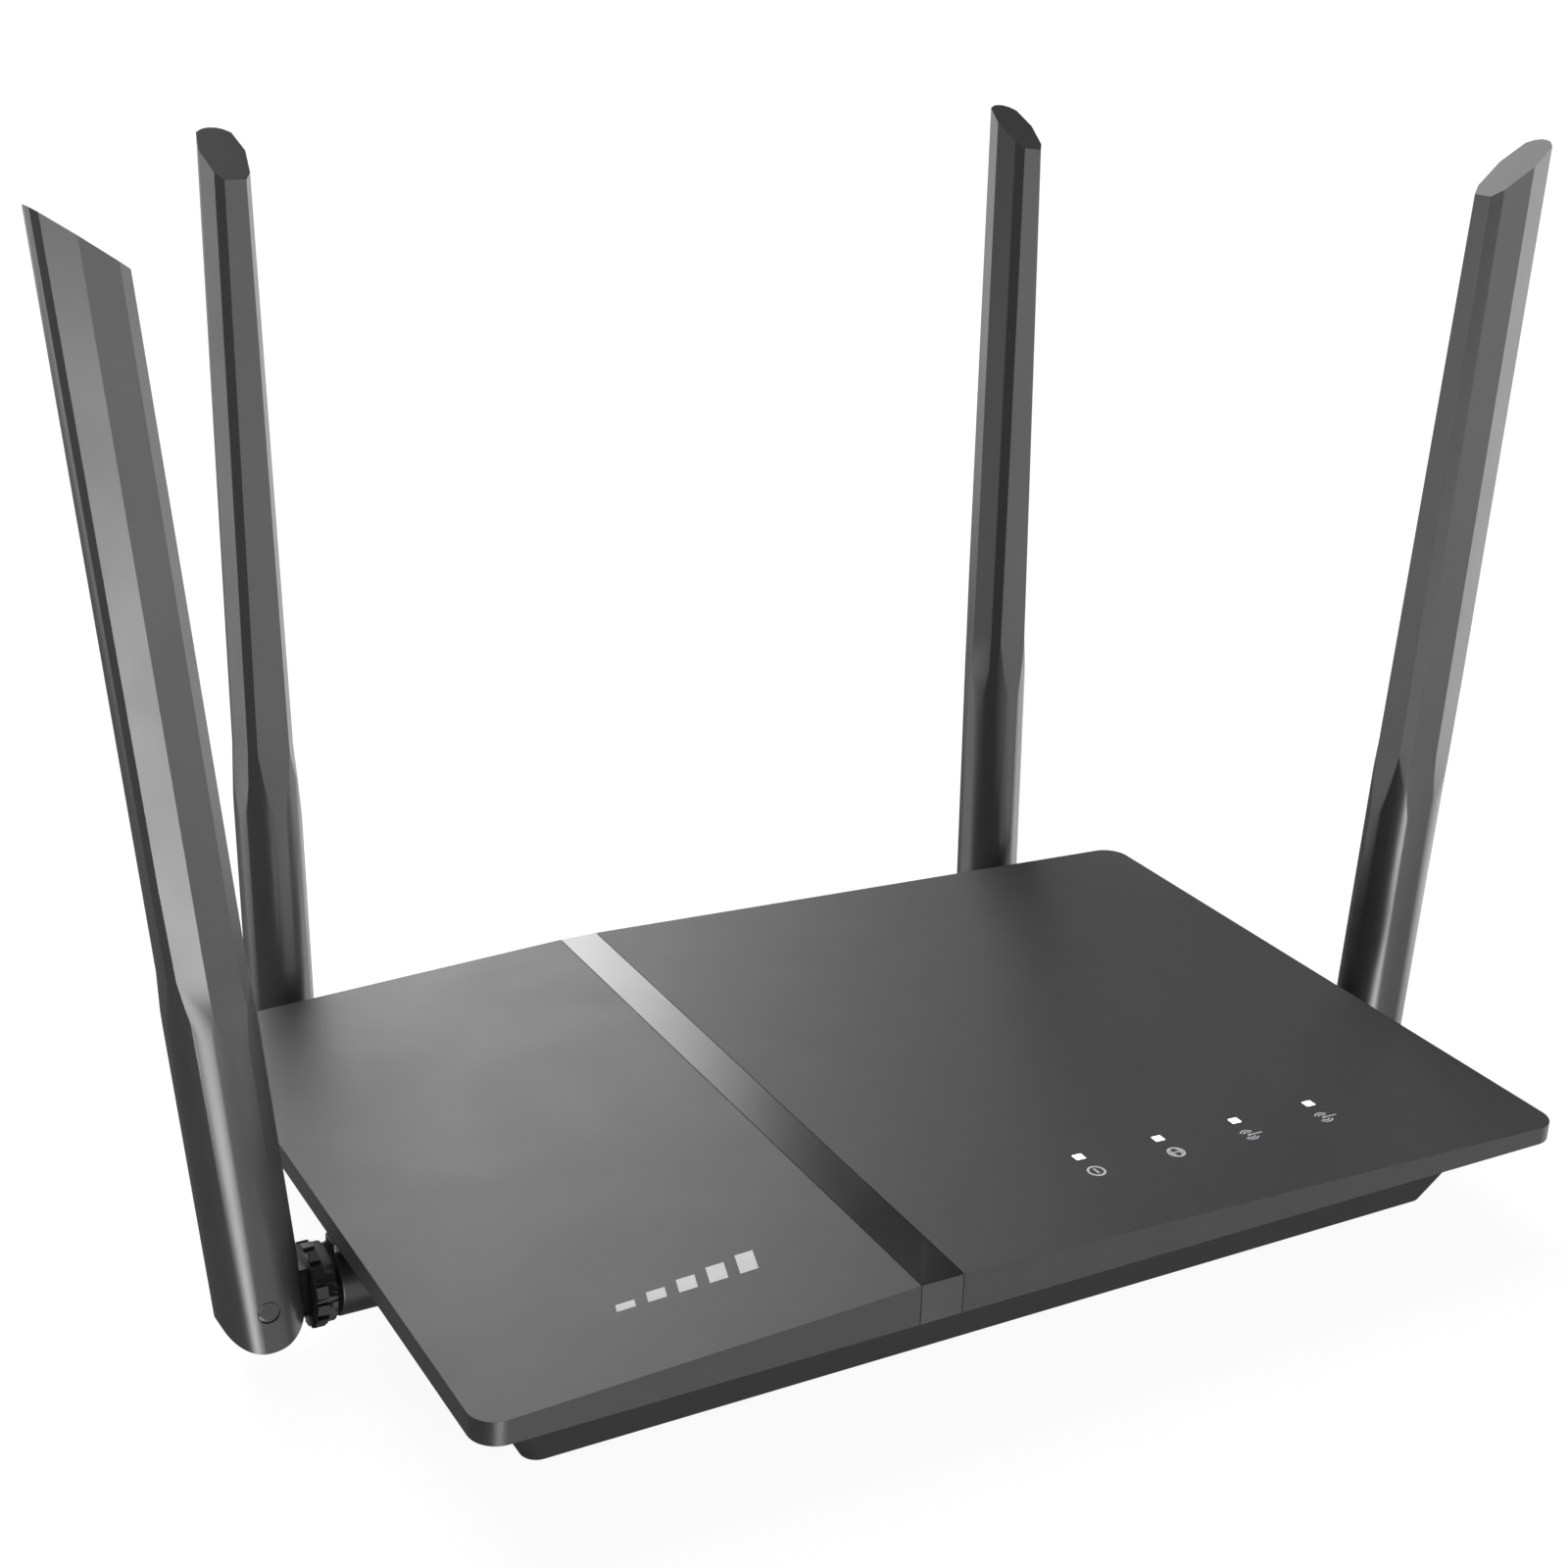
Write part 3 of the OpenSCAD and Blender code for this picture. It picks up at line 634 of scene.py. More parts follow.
@dataclass
class TopPlate:
    """The plate, its strip, and what is printed on it. Lengths are in millimetres."""

    shop: Workshop
    edge: float = 0.28
    strip_edge: float = 0.12
    ink: float = 0.02
    lights: int = 4
    light_width: float = 1.8
    icon_ahead: float = 5.5
    icon_radius: float = 1.75
    line: float = 0.42
    thin_line: float = 0.294
    mark_left: float = 31.0
    mark_front: float = 17.5
    mark_bars: int = 5
    mark_pitch: float = 5.6
    mark_bar: float = 3.4
    mark_height: float = 5.2
    mark_first: float = 0.35
    mark_slant: float = 1.6

    def build(self) -> None:
        """Makes every piece of the plate."""
        self.surface = BVHTree.FromObject(self.shop.nodes["top_cover"], bpy.context.evaluated_depsgraph_get())
        self.shop.soften_node("top_cover", self.edge)
        self.shop.soften_node("accent_strip", self.strip_edge)
        self.print_icons()
        self.print_mark()

    def height(self, x: float, y: float) -> float:
        """Height of the plate's outer surface."""
        hit = self.surface.ray_cast(Vector((x, y, 1.0)), Vector((0.0, 0.0, -1.0)))[0]
        return hit.z

    def printed(self, name: str, outlines: Sequence[Outline]) -> None:
        """Lays flat shapes on the plate as a film of ink.

        Args:
            name: The piece's name.
            outlines: Shapes in millimetres, in the row frame.
        """
        shape = bmesh.new()
        for outline in outlines:
            points = [Vector((x, y, self.height(x, y))) for x, y in scaled(outline)]
            lifts = (Vector((0.0, 0.0, lift * MM)) for lift in (-self.ink, self.ink))
            loft_into(shape, [[point + lift for point in points] for lift in lifts])
        piece = object_from(name, shape)
        self.shop.hand_over(piece, "case", "print_white")

    def print_icons(self) -> None:
        """Prints the four icons in front of the lights: power, globe and two waves."""
        low, high = (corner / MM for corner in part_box("status_leds"))
        pitch = (high.x - low.x - self.light_width) / (self.lights - 1)
        y = (low.y + high.y) / 2 - self.icon_ahead
        middles = [low.x + self.light_width / 2 + i * pitch for i in range(self.lights)]
        drawings = (self.power_icon, self.globe_icon, self.wave_icon, self.wave_icon)
        names = ("power_icon", "network_icon", "first_wave_icon", "second_wave_icon")
        for name, x, drawing in zip(names, middles, drawings):
            self.printed(name, drawing((x, y)))

    def power_icon(self, at: Point) -> list[Outline]:
        """A ring with an upright bar."""
        r = self.icon_radius
        return [*ring_band(at, r - self.line, r), rectangle(self.line, r, at)]

    def globe_icon(self, at: Point) -> list[Outline]:
        """A ring with an equator and a meridian on each side."""
        r = self.icon_radius
        equator = rectangle(2 * (r - self.line), self.thin_line, at)
        meridians = [
            [(at[0] + side * (r / 2 * math.cos(t) + w), at[1] + r * math.sin(t)) for t, w in self.lens()]
            for side in (-1, 1)
        ]
        return [*ring_band(at, r - self.line, r), equator, *meridians]

    def lens(self, reach: float = 70.0, count: int = 10) -> list[Point]:
        """Angles and widths that go up one side of a thin curved bar and down the other."""
        angles = [math.radians(reach * (2 * i / count - 1)) for i in range(count + 1)]
        half = self.thin_line / 2
        return [(t, half) for t in angles] + [(t, -half) for t in reversed(angles)]

    def wave_icon(self, at: Point) -> list[Outline]:
        """A mast lying along X, with two arcs on each side of its tip."""
        near, far, spread = self.icon_radius * 0.5, self.icon_radius * 0.85, 55
        tip = (at[0] - near, at[1])
        dot = circle(self.line * 0.8, DOT_SIDES, tip)
        mast = rectangle(2 * far, self.thin_line, (tip[0] + far, tip[1]))
        arcs = [
            arc_band(tip, (inner, inner + self.thin_line), (middle - spread, middle + spread))
            for inner in (near, far)
            for middle in (90, 270)
        ]
        return [dot, mast, *arcs]

    def print_mark(self) -> None:
        """Prints a row of slanted bars that grow, a plain mark of no make."""
        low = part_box("top_cover")[0] / MM
        foot = low.y + self.mark_front
        bars = []
        for i in range(self.mark_bars):
            share = self.mark_first + (1 - self.mark_first) * i / (self.mark_bars - 1)
            head, slant = foot + self.mark_height * share, self.mark_slant * share
            left = low.x + self.mark_left + i * self.mark_pitch
            right = left + self.mark_bar
            bars.append([(left, foot), (right, foot), (right + slant, head), (left + slant, head)])
        self.printed("plain_mark", bars)


# ------------------------------------------------------------------ tub and rear


@dataclass
class Label:
    """The plain print on the label under the case. Lengths are in millimetres."""

    shop: Workshop
    ink: float = 0.02
    margin: float = 3.0
    line: float = 0.4
    row_lengths: tuple[float, ...] = (26.0, 22.0, 24.0, 16.0, 20.0)
    row_height: float = 1.1
    row_pitch: float = 4.4
    rows_left: float = 7.0
    rows_top: float = 8.0
    square: float = 9.0
    squares_right: float = 11.0
    square_shift: float = 6.0

    def build(self) -> None:
        """Prints a frame, rows in place of words, and two squares."""
        low, high = (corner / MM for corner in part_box("rating_label"))
        x, y = (low.x + high.x) / 2, (low.y + high.y) / 2
        width, depth = high.x - low.x - 2 * self.margin, high.y - low.y - 2 * self.margin
        bars = [rectangle(width, self.line, (x, y + side * depth / 2)) for side in (-1, 1)]
        bars += [rectangle(self.line, depth, (x + side * width / 2, y)) for side in (-1, 1)]
        for i, length in enumerate(self.row_lengths):
            middle = (low.x + self.rows_left + length / 2, high.y - self.rows_top - self.row_pitch * i)
            bars.append(rectangle(length, self.row_height, middle))
        for side in (-1, 1):
            middle = (high.x - self.squares_right, y + side * self.square_shift)
            bars.append(rectangle(self.square, self.square, middle))
        shape = bmesh.new()
        heights = [(low.z + ink) * MM for ink in (-self.ink, self.ink)]
        for outline in bars:
            loft_into(shape, [[Vector((x, y, z)) for x, y in scaled(outline)] for z in heights])
        self.shop.hand_over(object_from("label_print", shape), "case", "print_grey")


@dataclass
class Tub:
    """The lower case with its rear panel, feet and buttons. Lengths are in millimetres."""

    shop: Workshop
    edges: tuple[tuple[str, float], ...] = (
        ("bottom_case", 0.22),
        ("rear_panel", 0.1),
        ("lan_jacks", 0.15),
        ("wan_jack", 0.15),
        ("dc_jack", 0.15),
        ("power_button", 0.3),
        ("wps_button", 0.2),
        ("rubber_feet", 0.35),
        ("case_screws", 0.08),
    )
    rib_count: int = 5
    rib_pitch: float = 1.1
    rib: tuple[float, float, float] = (0.45, 0.3, 3.6)
    rib_edge: float = 0.08
    foot_radius: float = 5.0
    stud_radius: float = 0.45
    stud_spread: float = 5.4
    stud_count: int = 5
    ports: int = 4
    port_margin: float = 0.8
    dot_radius: float = 0.45
    dot_gap: float = 1.5
    ink: float = 0.02

    def build(self) -> None:
        """Makes every piece of the tub."""
        for node, width in self.edges:
            self.shop.soften_node(node, width)
        self.rib_power_button()
        self.stud_feet()
        Label(self.shop).build()
        self.print_port_dots()

    def rib_power_button(self) -> None:
        """Raises grip ribs on the power button's face."""
        low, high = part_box("power_button")
        finish = "button_plastic"
        pitch, rib = self.rib_pitch * MM, tuple(side * MM for side in self.rib)
        ribs = row_of_blocks("button_ribs", self.rib_count, pitch, rib, self.shop.materials[finish])
        place = Matrix.Translation(((low.x + high.x) / 2, high.y, (low.z + high.z) / 2))
        piece = soften(ribs.run("power_button_ribs", place), self.rib_edge * MM)
        self.shop.hand_over(piece, "power_button", finish)

    def stud_feet(self) -> None:
        """Moulds a grid of small studs on each foot's underside."""
        low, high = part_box("rubber_feet")
        finish = "foot_rubber"
        foot, stud = self.foot_radius * MM, self.stud_radius * MM
        size, counts = (self.stud_spread * MM,) * 2, (self.stud_count,) * 2
        middles = ((x, y) for x in (low.x + foot, high.x - foot) for y in (low.y + foot, high.y - foot))
        for i, (x, y) in enumerate(middles):
            studs = grid_of_domes("foot_studs", size, counts, stud, self.shop.materials[finish])
            place = Matrix.Translation((x, y, low.z + stud * DOME_RISE))
            self.shop.hand_over(studs.run(f"foot_studs_{i + 1}", place), "case", finish)

    def print_port_dots(self) -> None:
        """Prints one to four dots under the network sockets."""
        low, high = (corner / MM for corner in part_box("lan_jacks"))
        panel_low, panel_high = (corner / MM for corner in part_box("rear_panel"))
        pitch = (high.x - low.x - 2 * self.port_margin) / self.ports
        level = (low.z + panel_low.z) / 2
        depths = [(panel_high.y + ink) * MM for ink in (-self.ink, self.ink)]
        shape = bmesh.new()
        for port in range(self.ports):
            middle = low.x + self.port_margin + (port + 0.5) * pitch
            for dot in range(port + 1):
                centre = (middle + (dot - port / 2) * self.dot_gap, level)
                outline = circle(self.dot_radius, DOT_SIDES, centre)
                loft_into(shape, [[Vector((x, y, z)) for x, z in scaled(outline)] for y in depths])
        self.shop.hand_over(object_from("port_dots", shape), "case", "print_white")


# ------------------------------------------------------------------ electronics


@dataclass
class Electronics:
    """Legs and solder joints that the CAD chips and sockets leave out. Lengths are in millimetres."""

    shop: Workshop
    legged: tuple[str, ...] = ("main_processor", "memory_chip", "flash_chip", "switch_chip")
    leg: tuple[float, float, float] = (0.22, 0.9, 0.15)
    leg_pitch: float = 0.65
    soldered: tuple[tuple[str, int], ...] = (("lan_jacks", 9), ("wan_jack", 4), ("line_transformers", 24))
    joint_rows: int = 2
    joint_radius: float = 0.5
    joint_inset: float = 2.0
    joint_reach: float = 9.0

    def build(self) -> None:
        """Makes the legs and joints."""
        for node in self.legged:
            self.leg_out(node)
        for node, count in self.soldered:
            self.solder_under(node, (count, self.joint_rows))

    def leg_out(self, node: str) -> None:
        """Sets a row of legs along each long side of a chip."""
        low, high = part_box(node)
        pitch, leg = self.leg_pitch * MM, tuple(side * MM for side in self.leg)
        count = max(3, int((high.y - low.y) / pitch) - 1)
        rows = row_of_blocks(f"{node}_leg_row", count, pitch, leg, self.shop.materials["contact_gold"])
        turn = Matrix.Rotation(math.pi / 2, 4, "Z")
        middle, level = (low.y + high.y) / 2, low.z + leg[2] / 2
        sides = [rows.run("leg_row", Matrix.Translation((x, middle, level)) @ turn) for x in (low.x, high.x)]
        self.shop.hand_over(joined(f"{node}_legs", sides), "case", "contact_gold")

    def solder_under(self, node: str, counts: tuple[int, int]) -> None:
        """Sets solder joints on the board's underside, below a soldered piece."""
        low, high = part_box(node)
        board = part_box("main_board")[0].z
        finish, inset = "shield_steel", self.joint_inset * MM
        size = (high.x - low.x - 2 * inset, min(high.y - low.y, self.joint_reach * MM) - inset)
        radius = self.joint_radius * MM
        joints = grid_of_domes(f"{node}_joint_grid", size, counts, radius, self.shop.materials[finish])
        centre = ((low.x + high.x) / 2, low.y + size[1] / 2 + inset, board)
        self.shop.hand_over(joints.run(f"{node}_joints", Matrix.Translation(centre)), "case", finish)


# ------------------------------------------------------------------ antennas


@dataclass
class BladeShape:
    """An antenna's blade in its own frame: pivot at the origin, X away from the case, Z up.

    Lengths are in millimetres.
    """

    length: float = 185.0
    round_width: float = 15.4
    round_depth: float = 12.8
    half_section: tuple[Point, ...] = (
        (6.95, 0.7),
        (6.6, 2.1),
        (5.7, 3.55),
        (0.9, 4.65),
        (-4.8, 3.5),
        (-6.7, 2.05),
    )
    spread: float = 1.25
    facets_from: float = 62.0
    facet_slope: float = 0.064
    tip_drop: float = 11.3
    slot_width: float = 5.8
    slot_reach: float = 5.0
    bore: float = 1.0
    pin: float = 1.5
    cap: float = 2.0
    cap_depth: float = 0.5
    bore_top: float = 20.0
    skin: float = 1.5
    round_skin: float = 2.0
    tip_skin: float = 4.0
    low_cavity: Point = (12.0, 46.0)
    high_cavity_from: float = 45.5
    edge: float = 0.45
    edge_angle: float = 17.0
    sides: int = 96
    hole_sides: int = 32
    bore_sides: int = 24
    cavity_sides: int = 48
    foot_below: float = 8.0
    clear: float = 12.0
    over: float = 2.0
    cap_over: float = 4.0
    tip_block: float = 40.0

    @property
    def top(self) -> float:
        """Height that clears the tip, where the solid ends before the tip is cut."""
        return self.length + self.over

    def facet_outline(self, height: float, grow: float = 0.0) -> list[Point]:
        """The faceted outline at a height, with every side moved outwards by grow."""
        share = min(1.0, (self.top - height) / (self.top - self.facets_from))
        upper = [(x, y + self.spread * share) for x, y in self.half_section]
        return moved_out(upper + [(x, -y) for x, y in reversed(upper)], grow)

    def body(self) -> bpy.types.Object:
        """The outer shape: a round lower part that slanting planes cut into facets higher up."""
        oval = scaled(stadium(self.round_width, self.round_depth, self.sides))
        round_part = prism("round_part", oval, -self.foot_below * MM, self.top * MM)
        half = self.round_width / 2
        foot = circle(half, self.sides, start=math.pi)[: self.sides // 2 + 1]
        profile = scaled(foot + [(half, self.top), (-half, self.top)])
        turn = Matrix.Rotation(math.pi / 2, 4, "X")
        depth = self.clear * MM
        carve(round_part, prism("profile", profile, -depth, depth, turn), Carving.KEEP_SHARED)
        rings = []
        for z in (-self.clear, self.facets_from, self.top):
            outline = self.facet_outline(z, max(0.0, self.facets_from - z) * self.facet_slope)
            rings.append([Vector((x, y, z * MM)) for x, y in scaled(outline)])
        shape = bmesh.new()
        loft_into(shape, rings)
        carve(round_part, object_from("facets", shape), Carving.KEEP_SHARED)
        return round_part

    def tools(self) -> list[bpy.types.Object]:
        """Everything that is cut out of the body."""
        outer, wide, half = self.half_section[0][0], self.round_width, self.round_depth / 2
        slope = math.atan2(self.tip_drop, 2 * outer)
        tip = Matrix.Translation((outer * MM, 0, self.length * MM)) @ Matrix.Rotation(-slope, 4, "Y")
        reach = wide + self.slot_reach
        slot = Matrix.Translation(((self.slot_reach - reach / 2) * MM, 0, 0))
        side = Matrix.Rotation(math.pi / 2, 4, "X")
        block = self.tip_block
        hollow = (wide - 2 * self.round_skin, self.round_depth - 2 * self.round_skin)
        high_hollow = self.facet_outline(self.top, -self.skin)
        high_top = self.length - self.tip_drop - self.tip_skin
        cap = circle(self.cap, self.hole_sides)
        cap_floor, cap_top = half - self.cap_depth, half + self.cap_over
        solids = (
            ("tip", rectangle(2 * block, block), 0, block, tip),
            ("slot", rectangle(reach, self.slot_width), -wide, self.slot_reach, slot),
            ("bore", circle(self.bore, self.bore_sides), 0, self.bore_top, None),
            ("pin_hole", circle(self.pin, self.hole_sides), -wide, wide, side),
            ("low_cavity", stadium(*hollow, self.cavity_sides), *self.low_cavity, None),
            ("high_cavity", high_hollow, self.high_cavity_from, high_top, None),
            ("front_cap", cap, cap_floor, cap_top, side),
            ("back_cap", cap, -cap_top, -cap_floor, side),
        )
        return [prism(name, scaled(edge), z0 * MM, z1 * MM, place) for name, edge, z0, z1, place in solids]

    def build(self) -> bpy.types.Mesh:
        """Makes the blade's mesh, in its own frame."""
        solid = self.body()
        for tool in self.tools():
            carve(solid, tool)
        soften(solid, self.edge * MM, angle=self.edge_angle, segments=3)
        mesh = solid.data
        bpy.data.objects.remove(solid)
        return mesh


def scaled(outline: Outline) -> list[Point]:
    """An outline in metres from one in millimetres."""
    return [(x * MM, y * MM) for x, y in outline]


def moved_out(outline: Outline, distance: float) -> list[Point]:
    """A counterclockwise outline with every side moved outwards by distance."""
    sides = zip(outline, [*outline[1:], outline[0]])
    normals = [Vector((y1 - y0, x0 - x1)).normalized() for (x0, y0), (x1, y1) in sides]
    moved = []
    for i, (x, y) in enumerate(outline):
        before, after = normals[i - 1], normals[i]
        shift = (before + after) * (distance / (1 + before.dot(after)))
        moved.append((x + shift.x, y + shift.y))
    return moved


@dataclass
class Antenna:
    """One hinged antenna, placed by its joints. The widths of its rounded edges are in millimetres."""

    shop: Workshop
    name: str
    edges: tuple[tuple[str, float], ...] = (("knuckle", 0.22), ("socket", 0.4), ("hinge_pins", 0.12))

    def blade_place(self) -> Matrix:
        """Where the blade's own frame lies at rest.

        The fold joint's axis is the pin. The blade stands off the upright by the fold's lower limit.
        """
        swivel = self.shop.joints[f"{self.name}_swivel"]
        fold = self.shop.joints[f"{self.name}_fold"]
        pivot, pin = Vector(fold["pos_m"]), Vector(fold["axis"]).normalized()
        away = Vector(swivel["axis"])
        if away.dot(pivot - self.case_centre()) < 0:
            away.negate()
        up = away.cross(pin)
        upright = Matrix((away, pin, up)).transposed().to_4x4()
        lean = Matrix.Rotation(math.radians(-fold["range_deg"][0]), 4, "Y")
        return Matrix.Translation(pivot) @ upright @ lean

    @staticmethod
    def case_centre() -> Vector:
        """Middle of the case."""
        low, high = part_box("top_cover")
        return (low + high) / 2

    def build(self, blade: bpy.types.Mesh) -> None:
        """Makes the antenna's pieces.

        Args:
            blade: The blade's mesh, in its own frame.
        """
        mesh = blade.copy()
        mesh.transform(self.blade_place())
        piece = new_object(f"{self.name}_blade_faceted", mesh)
        self.shop.hand_over(piece, f"{self.name}_antenna", "blade_plastic", [f"{self.name}_blade"])
        for part, width in self.edges:
            self.shop.soften_node(f"{self.name}_{part}", width)


# ------------------------------------------------------------------ studio


@dataclass(frozen=True)
class Glow:
    """A soft bright panel in the surroundings. Angles are in degrees.

    Azimuth 0 is behind the object and 90 is at its right.
    """

    azimuth: float
    elevation: float
    half_width: float
    half_height: float
    fade: float
    strength: float

    def brightness(self, graph: Graph, direction: bpy.types.NodeSocket, height: Signal) -> Signal:
        """The panel's light.

        Args:
            graph: The world's graph.
            direction: The direction looked in, laid flat and made one long.
            height: The direction's upward part.

        Returns:
            The strength inside the panel, fading to 0 outside.
        """
        a, e = math.radians(self.azimuth), math.radians(self.elevation)
        aim = (math.sin(a), math.cos(a), 0.0)
        product = {"operation": "DOT_PRODUCT"}
        turn = graph.signal("ShaderNodeVectorMath", "Value", product, {0: direction, 1: aim})
        edge, inside = (math.cos(math.radians(self.half_width + f)) for f in (self.fade, 0.0))
        low, high = (math.sin(e - math.radians(self.half_height + f)) for f in (self.fade, 0.0))
        top_low, top_high = (math.sin(e + math.radians(self.half_height + f)) for f in (0.0, self.fade))
        across = turn.smooth_step(edge, inside)
        upright = height.smooth_step(low, high) * (1.0 - height.smooth_step(top_low, top_high))
        return across * upright * self.strength


@dataclass(frozen=True)
class Studio:
    """A pale floor in a pale dome, one soft sun, soft bright panels and the camera."""

    lens: float = 58.1
    eye: tuple[float, float, float] = (-0.2278, -0.4007, 0.2575)
    yaw: float = 29.36
    pitch: float = 21.78
    roll: float = 1.99
    room: float = 5.0
    dimness: float = 0.11
    sun_azimuth: float = -12.0
    sun_elevation: float = 60.0
    sun_spread: float = 40.0
    sun_strength: float = 0.95
    glows: tuple[Glow, ...] = (
        Glow(6, 20, 16, 8, 9, 6.2),
        Glow(8, 45, 8, 3, 6, 2.4),
        Glow(-167, -24, 8, 17, 7, 16.0),
        Glow(154, 4, 15, 14, 11, 2.5),
        Glow(156, -33, 8, 6, 7, 1.7),
        Glow(103, -10, 14, 11, 8, 4.4),
        Glow(60, -10, 9, 13, 9, 2.6),
        Glow(-44, -8, 10, 8, 9, 1.8),
        Glow(-12, -3, 8, 6, 6, 2.0),
    )

    def build(self) -> None:
        """Sets up the whole studio."""
        self.floor()
        self.dome()
        self.surroundings()
        self.sun()
        self.camera()
        view = bpy.context.scene.view_settings
        view.view_transform, view.look = "Standard", "None"

    def stage_piece(self, name: str, shape: bmesh.types.BMesh, white: float, glow: float) -> bpy.types.Object:
        """Makes a piece of the stage, seen from one side only.

        Args:
            name: The piece's name.
            shape: Its mesh, with its faces towards the object.
            white: How much of the light that falls on it comes back.
            glow: How much light it gives of itself.

        Returns:
            The piece.
        """
        mesh = bpy.data.meshes.new(name)
        shape.to_mesh(mesh)
        shape.free()
        piece = new_object(name, mesh)
        material = bpy.data.materials.new(f"{name}_paper")
        material.use_nodes = True
        graph = Graph(material.node_tree)
        paper = graph.add("ShaderNodeBsdfDiffuse", {}, {"Color": (white, white, white, 1.0)})
        lit = graph.add("ShaderNodeEmission", {}, {"Strength": glow})
        both = graph.add("ShaderNodeAddShader", {}, {0: paper.outputs[0], 1: lit.outputs[0]})
        clear = graph.add("ShaderNodeBsdfTransparent")
        behind = graph.add("ShaderNodeNewGeometry").outputs["Backfacing"]
        mix = graph.add("ShaderNodeMixShader", {}, {0: behind, 1: both.outputs[0], 2: clear.outputs[0]})
        graph.add("ShaderNodeOutputMaterial", {}, {"Surface": mix.outputs[0]})
        mesh.materials.append(material)
        piece.visible_glossy = False
        return piece

    def floor(self) -> None:
        """A wide matt floor."""
        shape = bmesh.new()
        bmesh.ops.create_circle(shape, cap_ends=True, segments=96, radius=self.room)
        self.stage_piece("floor", shape, white=0.2, glow=0.93)

    def dome(self) -> None:
        """A pale dome that only the camera sees."""
        shape = bmesh.new()
        bmesh.ops.create_icosphere(shape, subdivisions=4, radius=self.room)
        bmesh.ops.reverse_faces(shape, faces=shape.faces)
        dome = self.stage_piece("dome", shape, white=0.0, glow=1.0)
        dome.visible_diffuse = dome.visible_shadow = dome.visible_transmission = False

    def surroundings(self) -> None:
        """Dim surroundings with the bright panels in them."""
        world = bpy.data.worlds.new("studio")
        bpy.context.scene.world = world
        world.use_nodes = True
        graph = Graph(world.node_tree)
        look = graph.add("ShaderNodeTexCoord").outputs["Generated"]
        height = graph.signal("ShaderNodeSeparateXYZ", "Z", {}, {"Vector": look})
        flat = graph.add("ShaderNodeVectorMath", {"operation": "MULTIPLY"}, {0: look, 1: (1.0, 1.0, 0.0)})
        unit = graph.add("ShaderNodeVectorMath", {"operation": "NORMALIZE"}, {0: flat.outputs[0]}).outputs[0]
        total = self.dimness + self.glows[0].brightness(graph, unit, height)
        for glow in self.glows[1:]:
            total = total + glow.brightness(graph, unit, height)
        background = graph.add("ShaderNodeBackground", {}, {"Strength": total})
        background.inputs["Color"].default_value = (1.0, 1.0, 1.0, 1.0)
        graph.add("ShaderNodeOutputWorld", {}, {"Surface": background.outputs["Background"]})

    def sun(self) -> None:
        """One very soft sun, high behind the object."""
        data = bpy.data.lights.new("soft_sun", "SUN")
        data.energy, data.angle = self.sun_strength, math.radians(self.sun_spread)
        light = bpy.data.objects.new("soft_sun", data)
        a, e = math.radians(self.sun_azimuth), math.radians(self.sun_elevation)
        toward = Vector((math.sin(a) * math.cos(e), math.cos(a) * math.cos(e), math.sin(e)))
        light.rotation_euler = toward.to_track_quat("Z", "Y").to_euler()
        bpy.context.scene.collection.objects.link(light)

    def camera(self) -> None:
        """The camera, at the eye height of someone who sits at the desk."""
        yaw, pitch, roll = (math.radians(v) for v in (self.yaw, self.pitch, self.roll))
        ahead = Vector((math.sin(yaw) * math.cos(pitch), math.cos(yaw) * math.cos(pitch), -math.sin(pitch)))
        level = Vector((math.cos(yaw), -math.sin(yaw), 0.0))
        up = level.cross(ahead)
        right = level * math.cos(roll) + up * math.sin(roll)
        top = up * math.cos(roll) - level * math.sin(roll)
        data = bpy.data.cameras.new("camera")
        data.lens, data.sensor_width = self.lens, 36.0
        data.clip_start, data.clip_end = 0.01, 50.0
        camera = bpy.data.objects.new("camera", data)
        turned = Matrix((right, top, -ahead)).transposed().to_4x4()
        camera.matrix_world = Matrix.Translation(self.eye) @ turned
        bpy.context.scene.collection.objects.link(camera)
        bpy.context.scene.camera = camera


# ------------------------------------------------------------------ the whole object


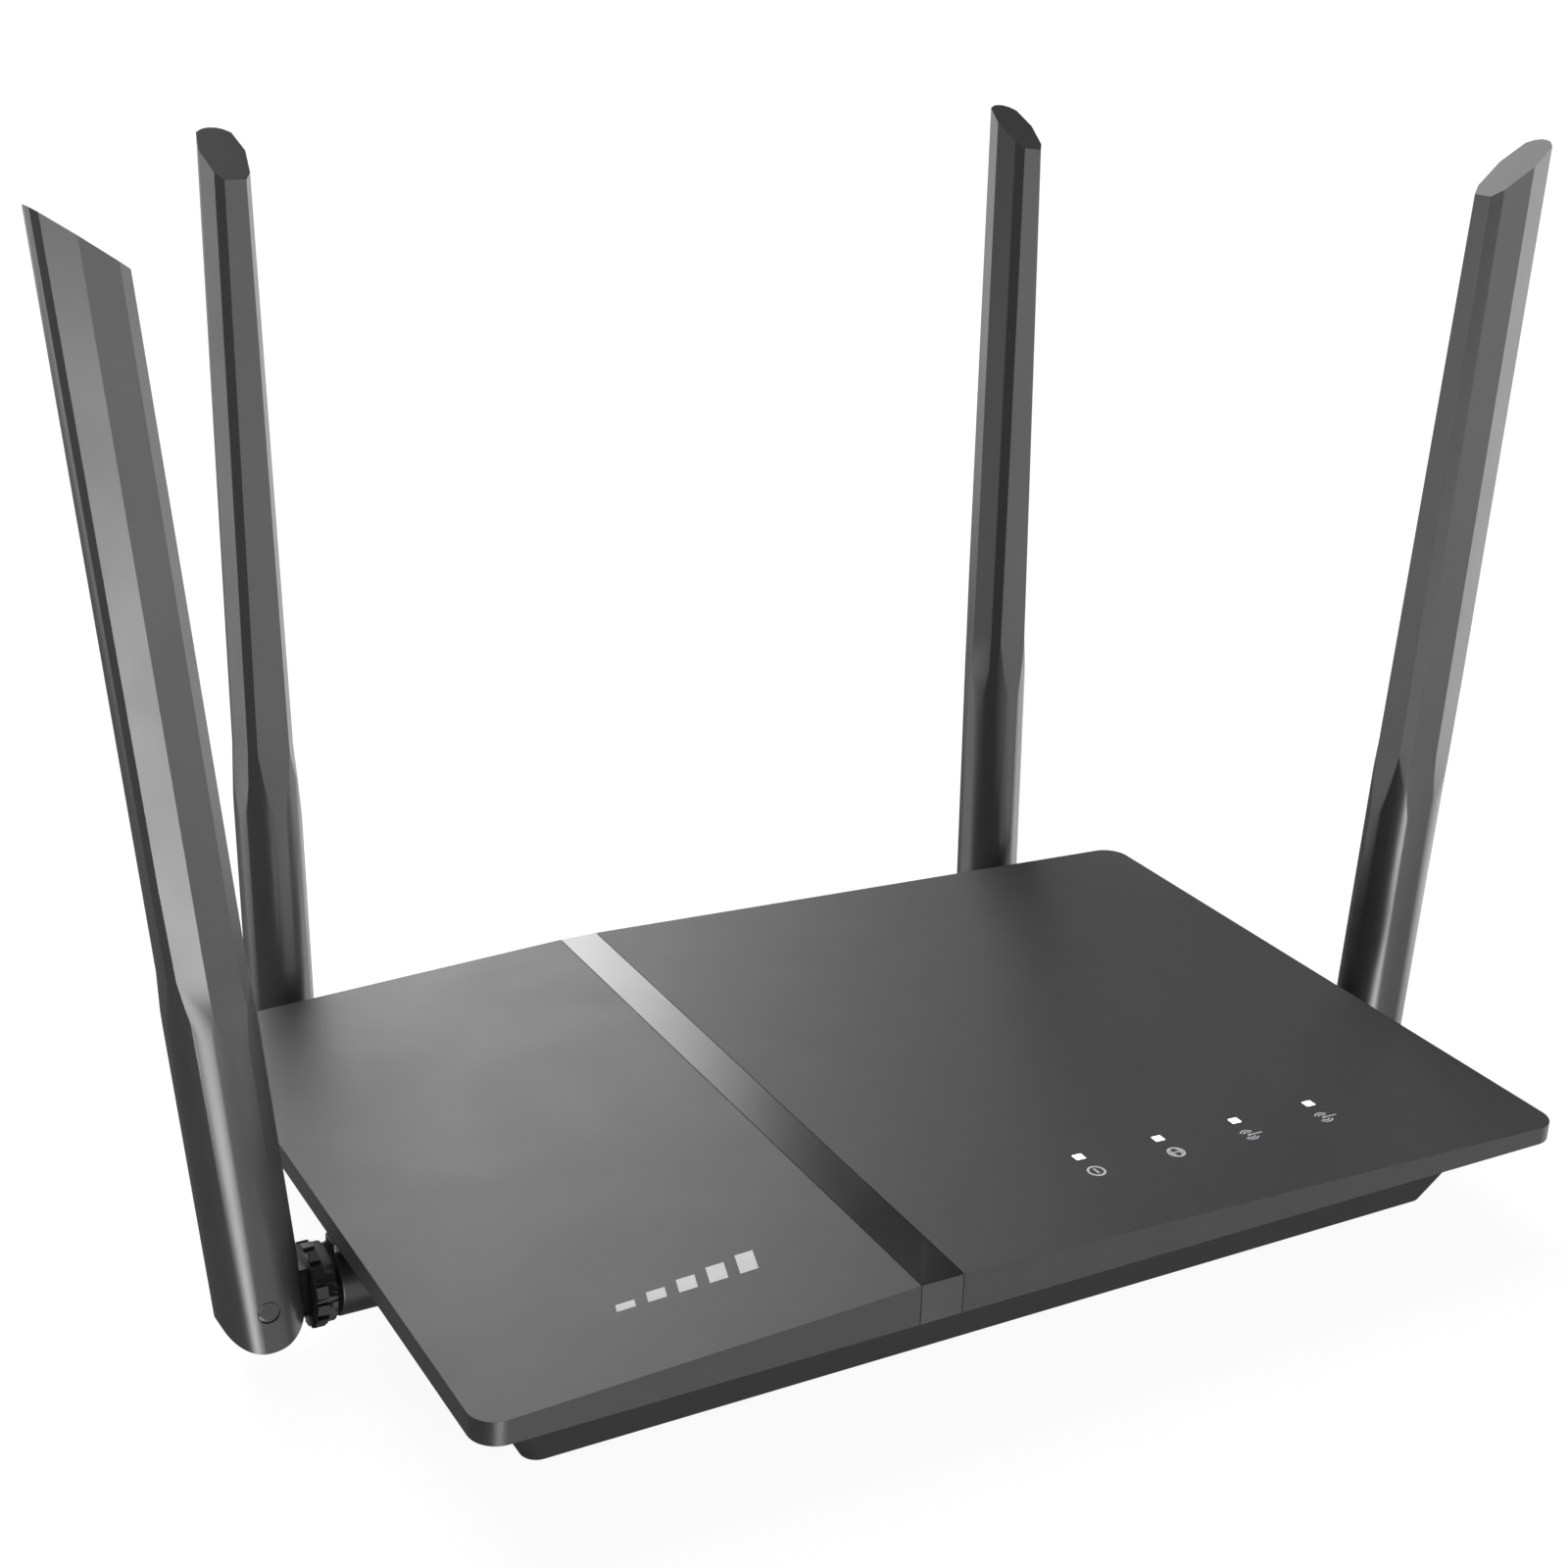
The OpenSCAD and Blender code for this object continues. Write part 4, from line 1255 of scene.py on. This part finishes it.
def finishes(light_top: float) -> list[Finish]:
    """Every finish, by the record's slot names.

    Args:
        light_top: Height above which the light pipe glows.

    Returns:
        The finishes.
    """
    smooth = {"mottle": 0.05, "grain_size": 0.4, "grain_depth": 0.004}
    return [
        Finish("cover_plastic", (0.05, 0.05, 0.052), 0.46, grain_depth=0.012),
        Finish("strip_gloss", (0.012, 0.012, 0.013), 0.2, coat=0.3, **smooth),
        Finish("case_plastic", (0.028, 0.028, 0.029), 0.5, grain_depth=0.014),
        Finish("foot_rubber", (0.02, 0.02, 0.02), 0.8, grain_size=0.35, grain_depth=0.03),
        Brushed("screw_steel", (0.55, 0.55, 0.57), 0.32, metallic=1.0),
        Finish("label_paper", (0.78, 0.78, 0.77), 0.6, mottle=0.03, grain_size=0.12),
        Laminate("board_laminate", (0.012, 0.1, 0.035), 0.35, grain_depth=0.04),
        Finish("jack_black", (0.02, 0.02, 0.021), 0.42),
        Finish("jack_yellow", (0.72, 0.47, 0.04), 0.42),
        Brushed("contact_gold", (0.83, 0.6, 0.24), 0.28, metallic=1.0),
        Brushed("jack_pin_metal", (0.78, 0.78, 0.8), 0.2, metallic=1.0),
        Finish("switch_plastic", (0.02, 0.02, 0.02), 0.5),
        Finish("button_plastic", (0.04, 0.04, 0.042), 0.38),
        Finish("plunger_plastic", (0.6, 0.55, 0.42), 0.5),
        Finish("led_lens", (0.9, 0.9, 0.8), 0.25, **smooth),
        LightPipe("light_pipe", (0.85, 0.9, 0.95), 0.2, glow_from=light_top, **smooth),
        Finish("chip_black", (0.018, 0.018, 0.02), 0.55, grain_size=0.12, grain_depth=0.02),
        Finish("pad_silicone", (0.3, 0.36, 0.45), 0.7),
        Brushed("sink_aluminium", (0.62, 0.63, 0.65), 0.36, metallic=1.0),
        Brushed("shield_steel", (0.66, 0.66, 0.64), 0.3, metallic=1.0),
        Finish("can_sleeve", (0.02, 0.022, 0.05), 0.3, **smooth),
        Finish("ferrite", (0.05, 0.05, 0.052), 0.7, grain_size=0.5, grain_depth=0.03),
        Finish("hinge_plastic", (0.028, 0.028, 0.029), 0.4),
        Finish("blade_plastic", (0.066, 0.066, 0.068), 0.32, mottle=0.06, grain_depth=0.008),
        Finish("pin_plastic", (0.035, 0.035, 0.036), 0.35),
        Laminate("element_laminate", (0.02, 0.12, 0.05), 0.4, grain_depth=0.04),
        Finish("lead_jacket", (0.02, 0.02, 0.02), 0.5, **smooth),
        Finish("print_white", (0.85, 0.85, 0.85), 0.5, **smooth),
        Finish("print_grey", (0.12, 0.12, 0.12), 0.6, **smooth),
    ]


def main() -> None:
    """Builds the object and the studio round the frame."""
    logging.basicConfig(level=logging.INFO, format="%(name)s: %(message)s")
    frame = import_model()
    light_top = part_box("light_guide")[1].z - LIGHT_CROWN * MM
    shop = Workshop(frame, finishes(light_top))
    shop.dress_nodes()
    TopPlate(shop).build()
    Tub(shop).build()
    Electronics(shop).build()
    blade = BladeShape().build()
    for name in ("left", "right", "rear_left", "rear_right"):
        Antenna(shop, name).build(blade)
    Studio().build()


if __name__ == "__main__":
    main()
